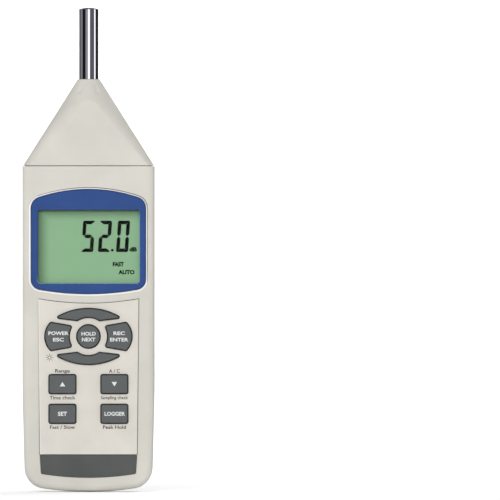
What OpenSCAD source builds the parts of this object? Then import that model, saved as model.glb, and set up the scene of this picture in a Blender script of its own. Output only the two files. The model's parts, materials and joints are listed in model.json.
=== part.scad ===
// Handheld sound level meter: a two-part case with a display, a keypad and a
// battery tray, a tapered nose, and a slim microphone tube on top.
// Frame: +Z runs from the base to the microphone, the display faces -Y and
// +X is the viewer's right. The origin is the centre of the base, at half of
// the overall depth. Lengths are in millimetres.

/* [Case] */
// Width of the case
body_w = 68; // [67:0.5:69]
// Height of the case up to the seam under the nose
body_h = 168; // [168:0.5:170]
// Depth of the case, without the keys
body_d = 43; // [43:0.5:45]
// Side and base wall thickness
wall = 2.2; // [2:0.1:2.4]
// Front wall thickness
face_wall = 2.6; // [2.4:0.1:2.8]
// Rear wall thickness
back_wall = 2.4; // [2.4:0.1:2.6]
// Rounding of the case edges
edge_r = 3.2; // [2.5:0.1:3.6]
// Radius of the two lower corners
corner_r = 11; // [10:0.5:12]
// Radius of the shallow arc under the base
base_r = 160; // [150:5:180]

/* [Nose and microphone] */
// Height of the tapered nose
nose_h = 45; // [44:0.5:47]
// Diameter of the nose where the tube leaves it
nose_tip_d = 11.2; // [11:0.1:12]
// Overall height to the top of the microphone
total_h = 250; // [246:1:256]
// Microphone tube diameter
tube_d = 9.8; // [9.6:0.1:9.9]

/* [Display] */
// Width of the blue bezel
bezel_w = 59.2; // [58:0.2:60]
// Height of the bezel's top at the centre
bezel_top_z = 156.2; // [155:0.2:157]
// Height of the bezel's bottom at the centre
bezel_bottom_z = 102.2; // [101.6:0.2:103]
// Width of the display opening
window_w = 52.3; // [51:0.1:53]
// Height of the display opening
window_h = 37.7; // [36:0.1:38]
// Height of the display centre
window_z = 126.65; // [126:0.05:127.5]

/* [Keypad] */
// Height of the round key's centre
hub_z = 80.2; // [79.8:0.1:80.6]
// Radius of the round key
hub_r = 6.05; // [5.8:0.05:6.3]
// Width of a rectangular key
block_w = 13.9; // [13.5:0.1:14.5]
// Height of a rectangular key
block_h = 9.8; // [9.4:0.1:10.4]
// Sideways place of the rectangular keys
block_x = 13.4; // [13:0.1:14]
// Gap around each key
key_gap = 0.35; // [0.25:0.05:0.4]
// How far a key goes in when pressed
key_travel = 1.2; // [0.8:0.1:1.2]

/* [Stand and tripod socket] */
// Width of the folding stand
stand_w = 45; // [42:0.5:46]
// Length of the stand from its hinge to its free end
stand_len = 46.5; // [44:0.5:46.5]
// Thread core radius of the tripod insert, for a 1/4 inch screw
tripod_r = 2.6; // [2.5:0.05:2.7]

/* [Sockets] */
// Height of the memory card slot's centre
card_z = 85; // [84:0.5:86]
// Height of the middle of the socket cover
ports_z = 92; // [91.5:0.5:92.5]

/* [Hidden] */
$fn = 48;

// Colours
case_white = [0.84, 0.82, 0.79];
bezel_blue = [0.21, 0.31, 0.54];
key_grey = [0.39, 0.40, 0.40];
trim_grey = [0.35, 0.36, 0.36];
steel = [0.75, 0.76, 0.78];
black_plastic = [0.12, 0.12, 0.13];
board_green = [0.10, 0.38, 0.22];

// Depth levels, from the key tops at the front to the rear wall
panel_proud = 0.5;
key_rise = 1.5;
key_proud = panel_proud + key_rise;
front_y = key_proud - (body_d + key_proud) / 2;
rear_y = front_y + body_d;
split_y = (front_y + rear_y) / 2;
face_in = front_y + face_wall;
back_in = rear_y - back_wall;
inlay_floor = front_y + 0.6;
panel_y = front_y - panel_proud;
key_top = panel_y - key_rise;
board_y = face_in + 3.3;
board_t = 1.6;
board_back = board_y + board_t;
eps = 0.02;
slice = 0.05;

// Outline of the case: the sides draw in by side_taper below taper_z
side_taper = 1;
taper_z = 65;
taper_run = 47;
side_r = (taper_run * taper_run + side_taper * side_taper) / (2 * side_taper);
corner_x = body_w / 2 - side_taper - corner_r;
corner_z = base_r - sqrt(pow(base_r - corner_r, 2) - pow(corner_x, 2));
base_a = atan2(base_r - corner_z, corner_x);

// Bezel outline: shallow arcs above and below, joined by corner arcs
bezel_top_r = 80;
bezel_top_corner = 5.7;
bezel_bottom_r = 143;
bezel_bottom_corner = 5;

// Keypad and trim inlays
panel_top_w = 51.7;
panel_bottom_w = 50.1;
panel_top_z = 99.5;
panel_bottom_z = 19.4;
panel_dip_r = 146.4;
panel_dip_z = 97.2;
trim_top_z = 19.1;
trim_top_w = 49.9;
trim_bottom_w = 48.4;
trim_margin = 7.5;
trim_corner = 0.8;
panel_gap = 0.3;
trim_gap = 0.2;

// Keys around the round key
ring_r = 9.9;
side_key_r = 10.4;
side_key_x = 12.1;
side_key_slope = 0.179;
side_key_half = 5.3;
side_key_in = 8;
side_key_corner = 0.9;
arch_r = 32.25;
arch_drop = 17.8;
arch_tip_x = 16.1;
arch_tip_z = 9.45;
arch_foot_x = 5;
arch_foot_z = 8.1;
arch_corner = 0.6;
upper_row_z = 55.6;
lower_row_z = 40.3;
block_corner = 0.95;
flange_grow = 0.7;
flange_t = 0.8;
flange_y = face_in + 0.1;
web_t = 1.1;
web_y = board_y - web_t;
contact_t = 0.1;
stem_end = board_y - contact_t - 0.05 - key_travel;
KEYS = ["power", "hold", "record", "upper", "lower", "up", "down", "set", "logger"];

// Display stack
window_t = 0.8;
bezel_y = front_y + 0.2;
bezel_floor = front_y + 1.8;
window_corner = 1.3;
window_lap = 1;
lcd_w = 56;
lcd_h = 42;
lcd_t = 1.2;
lcd_y = face_in + 0.2;
light_y = lcd_y + lcd_t + 0.1;
frame_rim = 1.5;

// Case screws and board screws
screw_r = 1.3;
screw_fit = 0.03;
screw_head_r = 2.5;
screw_head_h = 2;
screw_well_r = 2.8;
boss_r = 4;
case_screw_x = [20, 28.3];
case_screw_z = [8.2, 158];
board_screw_r = 1;
board_screw_spots = [[25, 24], [27, 62], [24, 151.4]];
board_half_w = 29.5;
board_z = 12;
board_top_z = 154;

// Battery tray: six AA cells, one above the other
cell_r = 7.25;
cell_len = 50.5;
cell_nub = 1;
cell_pitch = 14.9;
cell_count = 6;
tray_half_w = 27.6;
tray_z = 13.2;
tray_top_z = tray_z + cell_pitch * (cell_count - 1) + 2 * cell_r + 0.6;
tray_wall = 1.5;
cover_t = 1.35;
cell_y = rear_y - cover_t - 0.3 - cell_r;
tray_floor = cell_y - cell_r - 0.15;
cover_half_w = 28.8;
cover_margin = 1.2;
cover_gap = 0.2;
cover_screw_x = 24.5;
cover_screw_z = tray_top_z + 2.8;
cover_tab_r = 3.6;

// Stand
stand_t = 2.2;
stand_floor = rear_y - 2.6;
stand_hinge_z = 157;
stand_hinge_y = stand_floor - 0.1;
knuckle_r = 2.3;
stand_pin_r = 1;
running_gap = 0.05;
stand_gap = 0.4;
stand_end_z = stand_hinge_z - stand_len;
pad_in = stand_floor - 4.4;
tripod_z = 133;
tripod_hole_r = 9;
insert_r = 4.2;
insert_len = 8;

// Side sockets, all on the rear face of the board
port_y = board_back + 4.4;
pocket_floor_x = body_w / 2 - 1.9;
pocket_half_z = 22.5;
pocket_front_y = split_y - 16.5;
pocket_rear_y = split_y - 3;
port_pad_x = pocket_floor_x - 1.8;
flap_t = 1.7;
flap_pin_r = 0.45;
flap_knuckle_r = 0.9;
flap_hinge_x = body_w / 2 - flap_knuckle_r;
flap_hinge_y = pocket_rear_y - 1.45;
dc_z = ports_z - 15.5;
serial_z = ports_z - 4.5;
analog_z = ports_z + 4;
reset_z = ports_z + 11.5;
trimmer_z = ports_z + 17.5;
plug_gap = 0.3;
card_len = 32;
card_w = 24;
card_t = 2.1;
card_y = board_back + 1.8;
card_out_x = 0.8 - body_w / 2;

// Nose and microphone
nose_top_z = body_h + nose_h;
seat_z = body_h + 2;
tongue_z = body_h - 4.2;
tongue_gap = 0.15;
tongue_t = 1.6;
nose_shoulder_h = 34;
nose_shoulder_r = 12.6;
tube_r = tube_d / 2;
tube_wall = 0.6;
tube_foot_r = tube_r - 0.2;
tube_foot_z = nose_top_z - 17;
grid_rim = 0.6;
grid_dome = 0.8;
tube_top_z = total_h - grid_rim - grid_dome;
tip_bore_r = tube_foot_r + running_gap;
nose_screw_x = 13;
nose_screw_z = body_h + 8;
clamp_z = nose_top_z - 14;

// Points along an arc, from angle a0 to a1 in n steps
function arc(cx, cz, r, a0, a1, n) =
    [for (i = [0:n]) let (a = a0 + (a1 - a0) * i / n) [cx + r * cos(a), cz + r * sin(a)]];

// Right-hand side of the case outline, drawn in by inset
function case_side(inset, top) = concat(
    [[body_w / 2 - inset, top]],
    arc(body_w / 2 - side_r, taper_z, side_r - inset, 0, -asin(taper_run / side_r), 5),
    arc(corner_x, corner_z, corner_r - inset, 0, -base_a, 9),
    arc(0, base_r, base_r - inset, -base_a, -90, 8));

function mirrored(points) =
    [for (i = [len(points) - 1:-1:0]) [-points[i][0], points[i][1]]];

function case_points(inset, top) =
    concat(case_side(inset, top), mirrored(case_side(inset, top)));

// Bezel outline, widened by grow on every side
function bezel_half(side, mid_r, mid_z, corner, grow) =
    let (cx = bezel_w / 2 - corner,
         cz = mid_z + side * sqrt(pow(mid_r - corner, 2) - cx * cx),
         a = atan2(sqrt(pow(mid_r - corner, 2) - cx * cx), cx))
    side > 0
        ? concat(arc(cx, cz, corner + grow, 0, a, 7), arc(0, mid_z, mid_r + grow, a, 90, 8))
        : concat(arc(0, mid_z, mid_r + grow, -90, -a, 8), arc(cx, cz, corner + grow, -a, 0, 7));

function bezel_side(grow) = concat(
    bezel_half(-1, bezel_bottom_r, bezel_bottom_z + bezel_bottom_r, bezel_bottom_corner, grow),
    bezel_half(1, bezel_top_r, bezel_top_z - bezel_top_r, bezel_top_corner, grow));

function bezel_points(grow) = concat(bezel_side(grow), mirrored(bezel_side(grow)));

// Rounded rectangle around the case's depth centre, seen from above
function section_points(half_w, half_d, r, n) = concat(
    arc(half_w - r, split_y + half_d - r, r, 0, 90, n),
    arc(r - half_w, split_y + half_d - r, r, 90, 180, n),
    arc(r - half_w, split_y - half_d + r, r, 180, 270, n),
    arc(half_w - r, split_y - half_d + r, r, 270, 360, n));

// Extrudes an outline drawn in X and Z from depth y0 to depth y1
module extrude_y(y0, y1) {
    translate([0, y1, 0])
        rotate([90, 0, 0])
            linear_extrude(y1 - y0)
                children();
}

// Cylinder along Y at a place in X and Z
module rod_y(x, z, r, y0, y1) {
    extrude_y(y0, y1)
        translate([x, z])
            circle(r = r);
}

// Cylinder along X from x0 to x1
module rod_x(y, z, r, x0, x1) {
    translate([x0, y, z])
        rotate([0, 90, 0])
            cylinder(r = r, h = x1 - x0);
}

// Box from one corner to the opposite corner
module block(low, high) {
    translate(low)
        cube(high - low);
}

module both_sides() {
    children();
    mirror([1, 0, 0])
        children();
}

module rounded_rect(w, h, r) {
    square([w - 2 * r, h], center = true);
    square([w, h - 2 * r], center = true);
    for (x = [-1, 1], y = [-1, 1])
        translate([x * (w / 2 - r), y * (h / 2 - r)])
            circle(r = r);
}

// Case shell

// Outer solid of the front half: outlines that draw in towards the face
module front_half_solid() {
    steps = 6;
    hull() {
        for (i = [0:steps]) {
            a = 90 * i / steps;
            y = front_y + edge_r * (1 - cos(a));
            extrude_y(y, y + slice)
                polygon(case_points(edge_r * (1 - sin(a)), body_h));
        }
        extrude_y(split_y - slice, split_y)
            polygon(case_points(0, body_h));
    }
}

module rear_half_solid() {
    translate([0, 2 * split_y, 0])
        mirror([0, 1, 0])
            front_half_solid();
}

module case_cavity(y0, y1) {
    extrude_y(y0, y1)
        polygon(case_points(wall, body_h + 1));
}

module case_screw_places() {
    both_sides()
        for (i = [0, 1])
            translate([case_screw_x[i], 0, case_screw_z[i]])
                children();
}

module panel_outline(grow) {
    difference() {
        polygon([[-panel_top_w / 2 - grow, panel_top_z + grow],
            [panel_top_w / 2 + grow, panel_top_z + grow],
            [panel_bottom_w / 2 + grow, panel_bottom_z - grow],
            [-panel_bottom_w / 2 - grow, panel_bottom_z - grow]]);
        translate([0, panel_dip_z + panel_dip_r])
            circle(r = panel_dip_r - grow, $fn = 360);
    }
}

module trim_outline(grow) {
    soft_corners(trim_corner + grow)
        trim_shape(grow);
}

module trim_shape(grow) {
    intersection() {
        polygon([[-trim_top_w / 2 - grow, trim_top_z + grow],
            [trim_top_w / 2 + grow, trim_top_z + grow],
            [trim_bottom_w / 2 + grow, trim_margin - grow],
            [-trim_bottom_w / 2 - grow, trim_margin - grow]]);
        translate([0, base_r])
            circle(r = base_r - trim_margin + grow, $fn = 360);
    }
}

module window_outline(grow) {
    translate([0, window_z])
        rounded_rect(window_w + 2 * grow, window_h + 2 * grow, window_corner + grow);
}

module board_post_places() {
    both_sides()
        for (spot = board_screw_spots)
            translate([spot[0], 0, spot[1]])
                children();
}

// Openings in the socket pocket's floor
module port_holes() {
    x0 = port_pad_x - 1;
    x1 = pocket_floor_x + 1;
    rod_x(port_y, dc_z, 3.2, x0, x1);
    rod_x(port_y, serial_z, 2.7, x0, x1);
    rod_x(port_y, analog_z, 2.7, x0, x1);
    rod_x(port_y, reset_z, 1.6, x0, x1);
    rod_x(port_y, trimmer_z, 2.3, x0, x1);
}

// Sloped surround that leads down to the bezel
module bezel_chamfer() {
    hull() {
        extrude_y(front_y - 1, front_y)
            polygon(bezel_points(1.15));
        extrude_y(front_y, front_y + 0.8)
            polygon(bezel_points(0.12));
    }
}

module front_case() {
    pilot_end = face_in + 3;
    color(case_white)
        difference() {
            union() {
                difference() {
                    front_half_solid();
                    case_cavity(face_in, split_y + 1);
                }
                case_screw_places()
                    rod_y(0, 0, boss_r - 0.6, face_in - 1, split_y);
                board_post_places()
                    rod_y(0, 0, 1.8, face_in - 1, board_y);
                block([port_pad_x, pocket_front_y - 1, ports_z - pocket_half_z - 1.5],
                    [body_w / 2 - wall + 0.5, split_y - 1, ports_z + pocket_half_z + 1.5]);
            }
            bezel_chamfer();
            extrude_y(front_y - 1, bezel_floor)
                polygon(bezel_points(0.1));
            extrude_y(front_y, face_in + 1)
                window_outline(0.1);
            extrude_y(front_y - 1, inlay_floor)
                panel_outline(panel_gap);
            extrude_y(front_y - 1, inlay_floor)
                trim_outline(trim_gap);
            extrude_y(front_y, face_in + 1)
                for (key = KEYS)
                    key_outline(key, key_gap);
            case_screw_places()
                rod_y(0, 0, screw_r + screw_fit, pilot_end, split_y + 1);
            board_post_places()
                rod_y(0, 0, board_screw_r + screw_fit, face_in + 0.5, board_y + 1);
            block([pocket_floor_x, pocket_front_y, ports_z - pocket_half_z],
                [body_w / 2 + 1, pocket_rear_y, ports_z + pocket_half_z]);
            port_holes();
            translate([flap_hinge_x, flap_hinge_y, ports_z - pocket_half_z - 1.5])
                cylinder(r = flap_pin_r + screw_fit, h = 2 * pocket_half_z + 3);
            block([-body_w / 2 - 1, card_y - 1.4, card_z - card_w / 2 - 0.4],
                [1 - body_w / 2 + wall, card_y + 1.4, card_z + card_w / 2 + 0.4]);
            translate([-body_w / 2 - 6.6, card_y - 3.6, card_z])
                rotate([-90, 0, 0])
                    cylinder(r = 8, h = 7.2);
        }
}

// Battery tray and the cover's seat, both open towards the rear
module tray_space() {
    block([-tray_half_w, tray_floor, tray_z], [tray_half_w, rear_y + 1, tray_top_z]);
}

module cover_outline(grow) {
    plate_bottom = tray_z - cover_margin - grow;
    plate_top = tray_top_z + cover_margin + grow;
    tab_bottom = tray_top_z - 10;
    tab_top = cover_screw_z + cover_tab_r + grow;
    translate([0, (plate_bottom + plate_top) / 2])
        rounded_rect(2 * (cover_half_w + grow), plate_top - plate_bottom, 2);
    translate([0, (tab_bottom + tab_top) / 2])
        rounded_rect(2 * (cover_screw_x + cover_tab_r + grow), tab_top - tab_bottom, 3);
}

module rear_case() {
    color(case_white)
        difference() {
            union() {
                difference() {
                    rear_half_solid();
                    case_cavity(split_y - 1, back_in);
                }
                block([-tray_half_w - tray_wall, tray_floor - tray_wall, tray_z - tray_wall],
                    [tray_half_w + tray_wall, back_in + 0.5, tray_top_z + tray_wall]);
                case_screw_places() {
                    rod_y(0, 0, boss_r - 0.6, split_y, back_in + 0.5);
                    rod_y(0, 0, boss_r, back_in - 5, back_in + 0.5);
                }
                both_sides()
                    rod_y(cover_screw_x, cover_screw_z, 3, back_in - 9, back_in + 0.5);
                block([-stand_w / 2 - 3.5, pad_in, stand_end_z - 2.5],
                    [stand_w / 2 + 3.5, back_in + 0.5, stand_hinge_z + 5.5]);
                rod_y(0, tripod_z, insert_r + 2.5, stand_floor - insert_len - 2, back_in);
            }
            tray_space();
            extrude_y(rear_y - cover_t - 0.05, rear_y + 1)
                cover_outline(cover_gap);
            block([-stand_w / 2 - stand_gap, stand_floor, stand_end_z - stand_gap],
                [stand_w / 2 + stand_gap, rear_y + 1, stand_hinge_z + 3.2]);
            block([-stand_w / 2 - stand_gap, stand_hinge_y - knuckle_r - 0.2, stand_hinge_z - 2.8],
                [stand_w / 2 + stand_gap, rear_y + 1, stand_hinge_z + 3.2]);
            rod_x(stand_hinge_y, stand_hinge_z, stand_pin_r + screw_fit,
                -stand_w / 2 - 2.6, stand_w / 2 + 2.6);
            rod_y(0, tripod_z, insert_r + eps, stand_floor - insert_len, stand_floor + 1);
            case_screw_places() {
                rod_y(0, 0, screw_r + 0.15, split_y - 1, back_in);
                rod_y(0, 0, screw_well_r, rear_y - screw_head_h - 2, rear_y + 1);
            }
            both_sides()
                rod_y(cover_screw_x, cover_screw_z, 1 + screw_fit, back_in - 8, back_in + 5);
            rod_y(0, stand_end_z - 1, 5, rear_y - 1.6, rear_y + 1);
        }
}

module battery_cover() {
    grip_pitch = 2.4;
    grip_count = 5;
    color(case_white)
        difference() {
            extrude_y(rear_y - cover_t, rear_y)
                cover_outline(0);
            both_sides()
                rod_y(cover_screw_x, cover_screw_z, 1.15, rear_y - cover_t - 1, rear_y + 1);
            both_sides()
                rod_y(cover_screw_x, cover_screw_z, 2.1, rear_y - 0.6, rear_y + 1);
            for (i = [0:grip_count - 1])
                translate([0, 0, tray_z + 6 + i * grip_pitch])
                    block([-9, rear_y - 0.5, 0], [9, rear_y + 1, 1.1]);
        }
}

module battery_cover_screws() {
    color(steel)
        both_sides()
            difference() {
                union() {
                    rod_y(cover_screw_x, cover_screw_z, 1, back_in - 6, rear_y - 0.6);
                    rod_y(cover_screw_x, cover_screw_z, 1.95, rear_y - 0.6, rear_y - eps);
                }
                cross_slot(cover_screw_x, cover_screw_z, 2.4, rear_y - 0.45);
            }
}

// Cross-shaped driver recess, open towards +Y from depth y
module cross_slot(x, z, size, y) {
    arm = size / 4;
    block([x - size / 2, y, z - arm / 2], [x + size / 2, y + 5, z + arm / 2]);
    block([x - arm / 2, y, z - size / 2], [x + arm / 2, y + 5, z + size / 2]);
}

module case_screws() {
    head_y = rear_y - screw_head_h - 2;
    color(steel)
        case_screw_places()
            difference() {
                union() {
                    rod_y(0, 0, screw_r, face_in + 6, head_y + eps);
                    rod_y(0, 0, screw_head_r, head_y + eps, head_y + screw_head_h);
                }
                cross_slot(0, 0, 3, head_y + 0.9);
            }
}

module stand() {
    rib_inset = 3;
    color(case_white)
        difference() {
            union() {
                extrude_y(stand_floor + 0.1, stand_floor + 0.1 + stand_t)
                    translate([0, stand_hinge_z - stand_len / 2])
                        rounded_rect(stand_w, stand_len, 3);
                block([-stand_w / 2, stand_floor + 0.1, stand_hinge_z - 4],
                    [stand_w / 2, stand_floor + 0.1 + stand_t, stand_hinge_z]);
                rod_x(stand_hinge_y, stand_hinge_z, knuckle_r, -stand_w / 2, stand_w / 2);
            }
            rod_x(stand_hinge_y, stand_hinge_z, stand_pin_r + running_gap + screw_fit,
                -stand_w, stand_w);
            rod_y(0, tripod_z, tripod_hole_r, 0, rear_y + 1);
            extrude_y(stand_floor - 10, rear_y + 1)
                translate([0, (tripod_z + stand_end_z) / 2])
                    square([12, tripod_z - stand_end_z - 12], center = true);
            both_sides()
                extrude_y(stand_floor + 0.1 + stand_t - 0.6, rear_y + 1)
                    translate([stand_w / 2 - rib_inset - 4, stand_hinge_z - stand_len / 2 - 1])
                        rounded_rect(5, stand_len - 14, 1.5);
        }
}

module stand_pin() {
    color(steel)
        rod_x(stand_hinge_y, stand_hinge_z, stand_pin_r,
            -stand_w / 2 - 2.5, stand_w / 2 + 2.5);
}

module tripod_insert() {
    color([0.78, 0.62, 0.30])
        difference() {
            rod_y(0, tripod_z, insert_r, stand_floor - insert_len + eps, stand_floor);
            rod_y(0, tripod_z, tripod_r, stand_floor - insert_len + 1, stand_floor + 1);
        }
}

// Front inlays

module display_bezel() {
    color(bezel_blue)
        difference() {
            extrude_y(bezel_y, bezel_floor)
                polygon(bezel_points(0));
            extrude_y(bezel_y - 1, bezel_floor + 1)
                window_outline(0);
            extrude_y(bezel_floor - window_t, bezel_floor + 1)
                window_outline(window_lap);
        }
}

module display_window() {
    color([0.75, 0.85, 0.75, 0.4])
        extrude_y(bezel_floor - window_t + eps, bezel_floor - eps)
            window_outline(window_lap - 0.1);
}

module keypad_panel() {
    color([0.86, 0.85, 0.81])
        difference() {
            extrude_y(panel_y, inlay_floor)
                panel_outline(0);
            extrude_y(panel_y - 1, inlay_floor + 1)
                for (key = KEYS)
                    key_outline(key, key_gap);
        }
}

module lower_trim() {
    color(trim_grey)
        extrude_y(panel_y + 0.1, inlay_floor)
            trim_outline(0);
}

// Keys

// Rounds the outer corners of a flat shape
module soft_corners(r) {
    offset(r = r, $fn = 28)
        offset(delta = -r)
            children();
}

// Key beside the round key, on the left: an arc outside, a hollow inside
module side_outline(grow) {
    reach = side_key_x + side_key_r + 2;
    far_half = side_key_half + side_key_slope * (reach - side_key_in) + grow;
    near_half = side_key_half + grow;
    soft_corners(max(side_key_corner + grow, 0.2))
        difference() {
            intersection() {
                translate([-side_key_x, 0])
                    circle(r = side_key_r + grow, $fn = 96);
                polygon([[-reach, far_half], [-side_key_in, near_half],
                    [-side_key_in, -near_half], [-reach, -far_half]]);
            }
            circle(r = ring_r - grow, $fn = 96);
        }
}

// Key above the round key: a crescent between two arcs
module arch_outline(grow) {
    tip = arch_tip_x + grow;
    soft_corners(max(arch_corner + grow, 0.2))
        difference() {
            intersection() {
                translate([0, -arch_drop])
                    circle(r = arch_r + grow, $fn = 180);
                polygon([[-tip, arch_r], [-tip, arch_tip_z - grow],
                    [-arch_foot_x, arch_foot_z - grow], [arch_foot_x, arch_foot_z - grow],
                    [tip, arch_tip_z - grow], [tip, arch_r]]);
            }
            circle(r = ring_r - grow, $fn = 96);
        }
}

module block_outline(side, z, grow) {
    translate([side * block_x, z])
        rounded_rect(block_w + 2 * grow, block_h + 2 * grow, max(block_corner + grow, 0.2));
}

module key_outline(key, grow) {
    translate([0, hub_z]) {
        if (key == "hold")
            circle(r = hub_r + grow);
        if (key == "power")
            side_outline(grow);
        if (key == "record")
            mirror([1, 0])
                side_outline(grow);
        if (key == "upper")
            arch_outline(grow);
        if (key == "lower")
            mirror([0, 1])
                arch_outline(grow);
    }
    if (key == "up")
        block_outline(-1, upper_row_z, grow);
    if (key == "down")
        block_outline(1, upper_row_z, grow);
    if (key == "set")
        block_outline(-1, lower_row_z, grow);
    if (key == "logger")
        block_outline(1, lower_row_z, grow);
}

// Key cap with a flange behind the case wall and a stem that meets the board
module key_solid(key) {
    color(key_grey) {
        extrude_y(key_top, flange_y)
            key_outline(key, 0);
        extrude_y(flange_y, flange_y + flange_t)
            key_outline(key, flange_grow);
        extrude_y(flange_y + flange_t, stem_end)
            key_outline(key, -1.5);
    }
}

module power_key() { key_solid("power"); }
module hold_key() { key_solid("hold"); }
module record_key() { key_solid("record"); }
module upper_blank_key() { key_solid("upper"); }
module lower_blank_key() { key_solid("lower"); }
module up_key() { key_solid("up"); }
module down_key() { key_solid("down"); }
module set_key() { key_solid("set"); }
module logger_key() { key_solid("logger"); }

module keypad_web() {
    color([0.30, 0.31, 0.31])
        difference() {
            extrude_y(web_y, board_y)
                translate([0, (panel_top_z + lower_row_z) / 2 - 5])
                    square([48, panel_top_z - lower_row_z + 6], center = true);
            extrude_y(web_y - 1, board_y + 1)
                for (key = KEYS)
                    key_outline(key, -1.1);
        }
}

module key_contacts() {
    color(black_plastic)
        extrude_y(board_y - contact_t, board_y)
            for (key = KEYS)
                key_outline(key, -2);
}

// Display internals

module lcd_glass() {
    color([0.55, 0.70, 0.56])
        extrude_y(lcd_y, lcd_y + lcd_t)
            translate([0, window_z])
                square([lcd_w, lcd_h], center = true);
}

module lcd_backlight() {
    color([0.92, 0.94, 0.90])
        extrude_y(light_y, board_y - 0.1)
            translate([0, window_z])
                square([lcd_w, lcd_h - 5], center = true);
}

module lcd_frame() {
    color([0.80, 0.80, 0.78])
        extrude_y(lcd_y - 0.1, board_y)
            translate([0, window_z])
                difference() {
                    square([lcd_w + 2 * frame_rim, lcd_h + 2 * frame_rim], center = true);
                    square([lcd_w + 0.2, lcd_h + 0.2], center = true);
                }
}

module zebra_strips() {
    color([0.85, 0.45, 0.60])
        for (side = [-1, 1])
            extrude_y(lcd_y + lcd_t, board_y)
                translate([0, window_z + side * (lcd_h / 2 - 1.2)])
                    square([lcd_w - 2, 1.8], center = true);
}

// Main board and what it carries

module main_board() {
    color(board_green)
        difference() {
            block([-board_half_w, board_y, board_z], [board_half_w, board_back, board_top_z]);
            board_post_places()
                rod_y(0, 0, board_screw_r + 0.1, board_y - 1, board_back + 1);
        }
}

module chip(x, z, w, h, t) {
    block([x - w / 2, board_back, z - h / 2], [x + w / 2, board_back + t, z + h / 2]);
}

module board_chips() {
    controller_w = 14;
    memory_w = 8;
    regulator_w = 6;
    capacitor_r = 3;
    resistor_count = 6;
    color(black_plastic) {
        chip(6, 48, controller_w, controller_w, 1.6);
        chip(-12, 52, memory_w, 5, 1.5);
        chip(-12, 40, memory_w, 5, 1.5);
        chip(18, 30, regulator_w, regulator_w, 2);
        chip(-6, 122, 10, 10, 1.5);
        chip(-18, 134, memory_w, 5, 1.5);
        chip(9, 134, 11, 4, 3.4);
        for (i = [0:resistor_count - 1])
            chip(-17 + i * 3.4, 112, 1.3, 2.2, 0.6);
        for (x = [-20, -12])
            rod_y(x, 26, capacitor_r, board_back, board_back + 7);
    }
}

module board_screws() {
    color(steel)
        board_post_places()
            difference() {
                union() {
                    rod_y(0, 0, board_screw_r, face_in + 1, board_back + eps);
                    rod_y(0, 0, 1.9, board_back + eps, board_back + 1.4);
                }
                cross_slot(0, 0, 2, board_back + 0.7);
            }
}

module sd_socket() {
    shell = 0.35;
    x0 = 2.6 - body_w / 2;
    x1 = card_out_x + card_len + 1;
    top_y = card_y + card_t / 2 + 0.15;
    color(steel)
        difference() {
            block([x0, board_back, card_z - card_w / 2 - 1.5],
                [x1, top_y + shell, card_z + card_w / 2 + 1.5]);
            block([x0 - 1, card_y - card_t / 2 - 0.15, card_z - card_w / 2 - 0.15],
                [x1 - 0.8, top_y, card_z + card_w / 2 + 0.15]);
        }
}

module sd_card() {
    cut = 4;
    color([0.10, 0.16, 0.34])
        extrude_y(card_y - card_t / 2, card_y + card_t / 2)
            translate([card_out_x, card_z - card_w / 2])
                polygon([[0, 0], [card_len, 0], [card_len, card_w - cut],
                    [card_len - cut, card_w], [0, card_w]]);
}

// Socket body on the board with a round mouth towards the side wall
module jack(z, width, length, mouth_r, depth, top_y) {
    difference() {
        block([port_pad_x - plug_gap - length, board_back, z - width / 2],
            [port_pad_x - plug_gap, top_y, z + width / 2]);
        rod_x(port_y, z, mouth_r, port_pad_x - plug_gap - depth, port_pad_x + 1);
    }
}

module dc_jack() {
    color(black_plastic) {
        jack(dc_z, 9, 13, 2.75, 10, port_y + 4);
        rod_x(port_y, dc_z, 1, port_pad_x - plug_gap - 10.5, port_pad_x - 2);
    }
}

module serial_jack() {
    color(black_plastic)
        jack(serial_z, 7, 13, 1.8, 11, port_y + 3.2);
}

module analog_jack() {
    color([0.20, 0.42, 0.28])
        jack(analog_z, 7, 13, 1.8, 11, port_y + 3.2);
}

module reset_switch() {
    color(black_plastic)
        difference() {
            block([port_pad_x - 6, board_back, reset_z - 3],
                [port_pad_x - 2.5, port_y + 3, reset_z + 3]);
            rod_x(port_y, reset_z, 1.3, port_pad_x - 5, port_pad_x);
        }
}

module reset_button() {
    color([0.70, 0.12, 0.10])
        rod_x(port_y, reset_z, 1.2, port_pad_x - 4.3, port_pad_x + 1.2);
}

module cal_trimmer() {
    color([0.12, 0.28, 0.62])
        difference() {
            block([port_pad_x - 6.5, board_back, trimmer_z - 2.9],
                [port_pad_x - 0.5, port_y + 3, trimmer_z + 2.9]);
            rod_x(port_y, trimmer_z, 2 + running_gap, port_pad_x - 4, port_pad_x);
        }
}

module cal_rotor() {
    slot_w = 0.6;
    color([0.88, 0.86, 0.78])
        difference() {
            rod_x(port_y, trimmer_z, 2, port_pad_x - 3.9, port_pad_x + 0.8);
            block([port_pad_x, port_y - 3, trimmer_z - slot_w / 2],
                [port_pad_x + 2, port_y + 3, trimmer_z + slot_w / 2]);
        }
}

// Hinged cover over the sockets
module jack_cover() {
    gap = 0.25;
    x1 = body_w / 2;
    x0 = x1 - flap_t;
    nail_r = 2.5;
    color(case_white)
        difference() {
            union() {
                block([x0, pocket_front_y + gap, ports_z - pocket_half_z + gap],
                    [x1, flap_hinge_y, ports_z + pocket_half_z - gap]);
                translate([flap_hinge_x, flap_hinge_y, ports_z - pocket_half_z + gap])
                    cylinder(r = flap_knuckle_r, h = 2 * (pocket_half_z - gap));
            }
            translate([flap_hinge_x, flap_hinge_y, ports_z - pocket_half_z - 1])
                cylinder(r = flap_pin_r + running_gap + screw_fit, h = 2 * pocket_half_z + 2);
            translate([x1 + 1.2, pocket_front_y + gap - 1, ports_z])
                sphere(r = nail_r);
        }
}

module jack_cover_pin() {
    color(steel)
        translate([flap_hinge_x, flap_hinge_y, ports_z - pocket_half_z - 1.4])
            cylinder(r = flap_pin_r, h = 2 * pocket_half_z + 2.8);
}

// Battery cells and contacts

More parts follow.
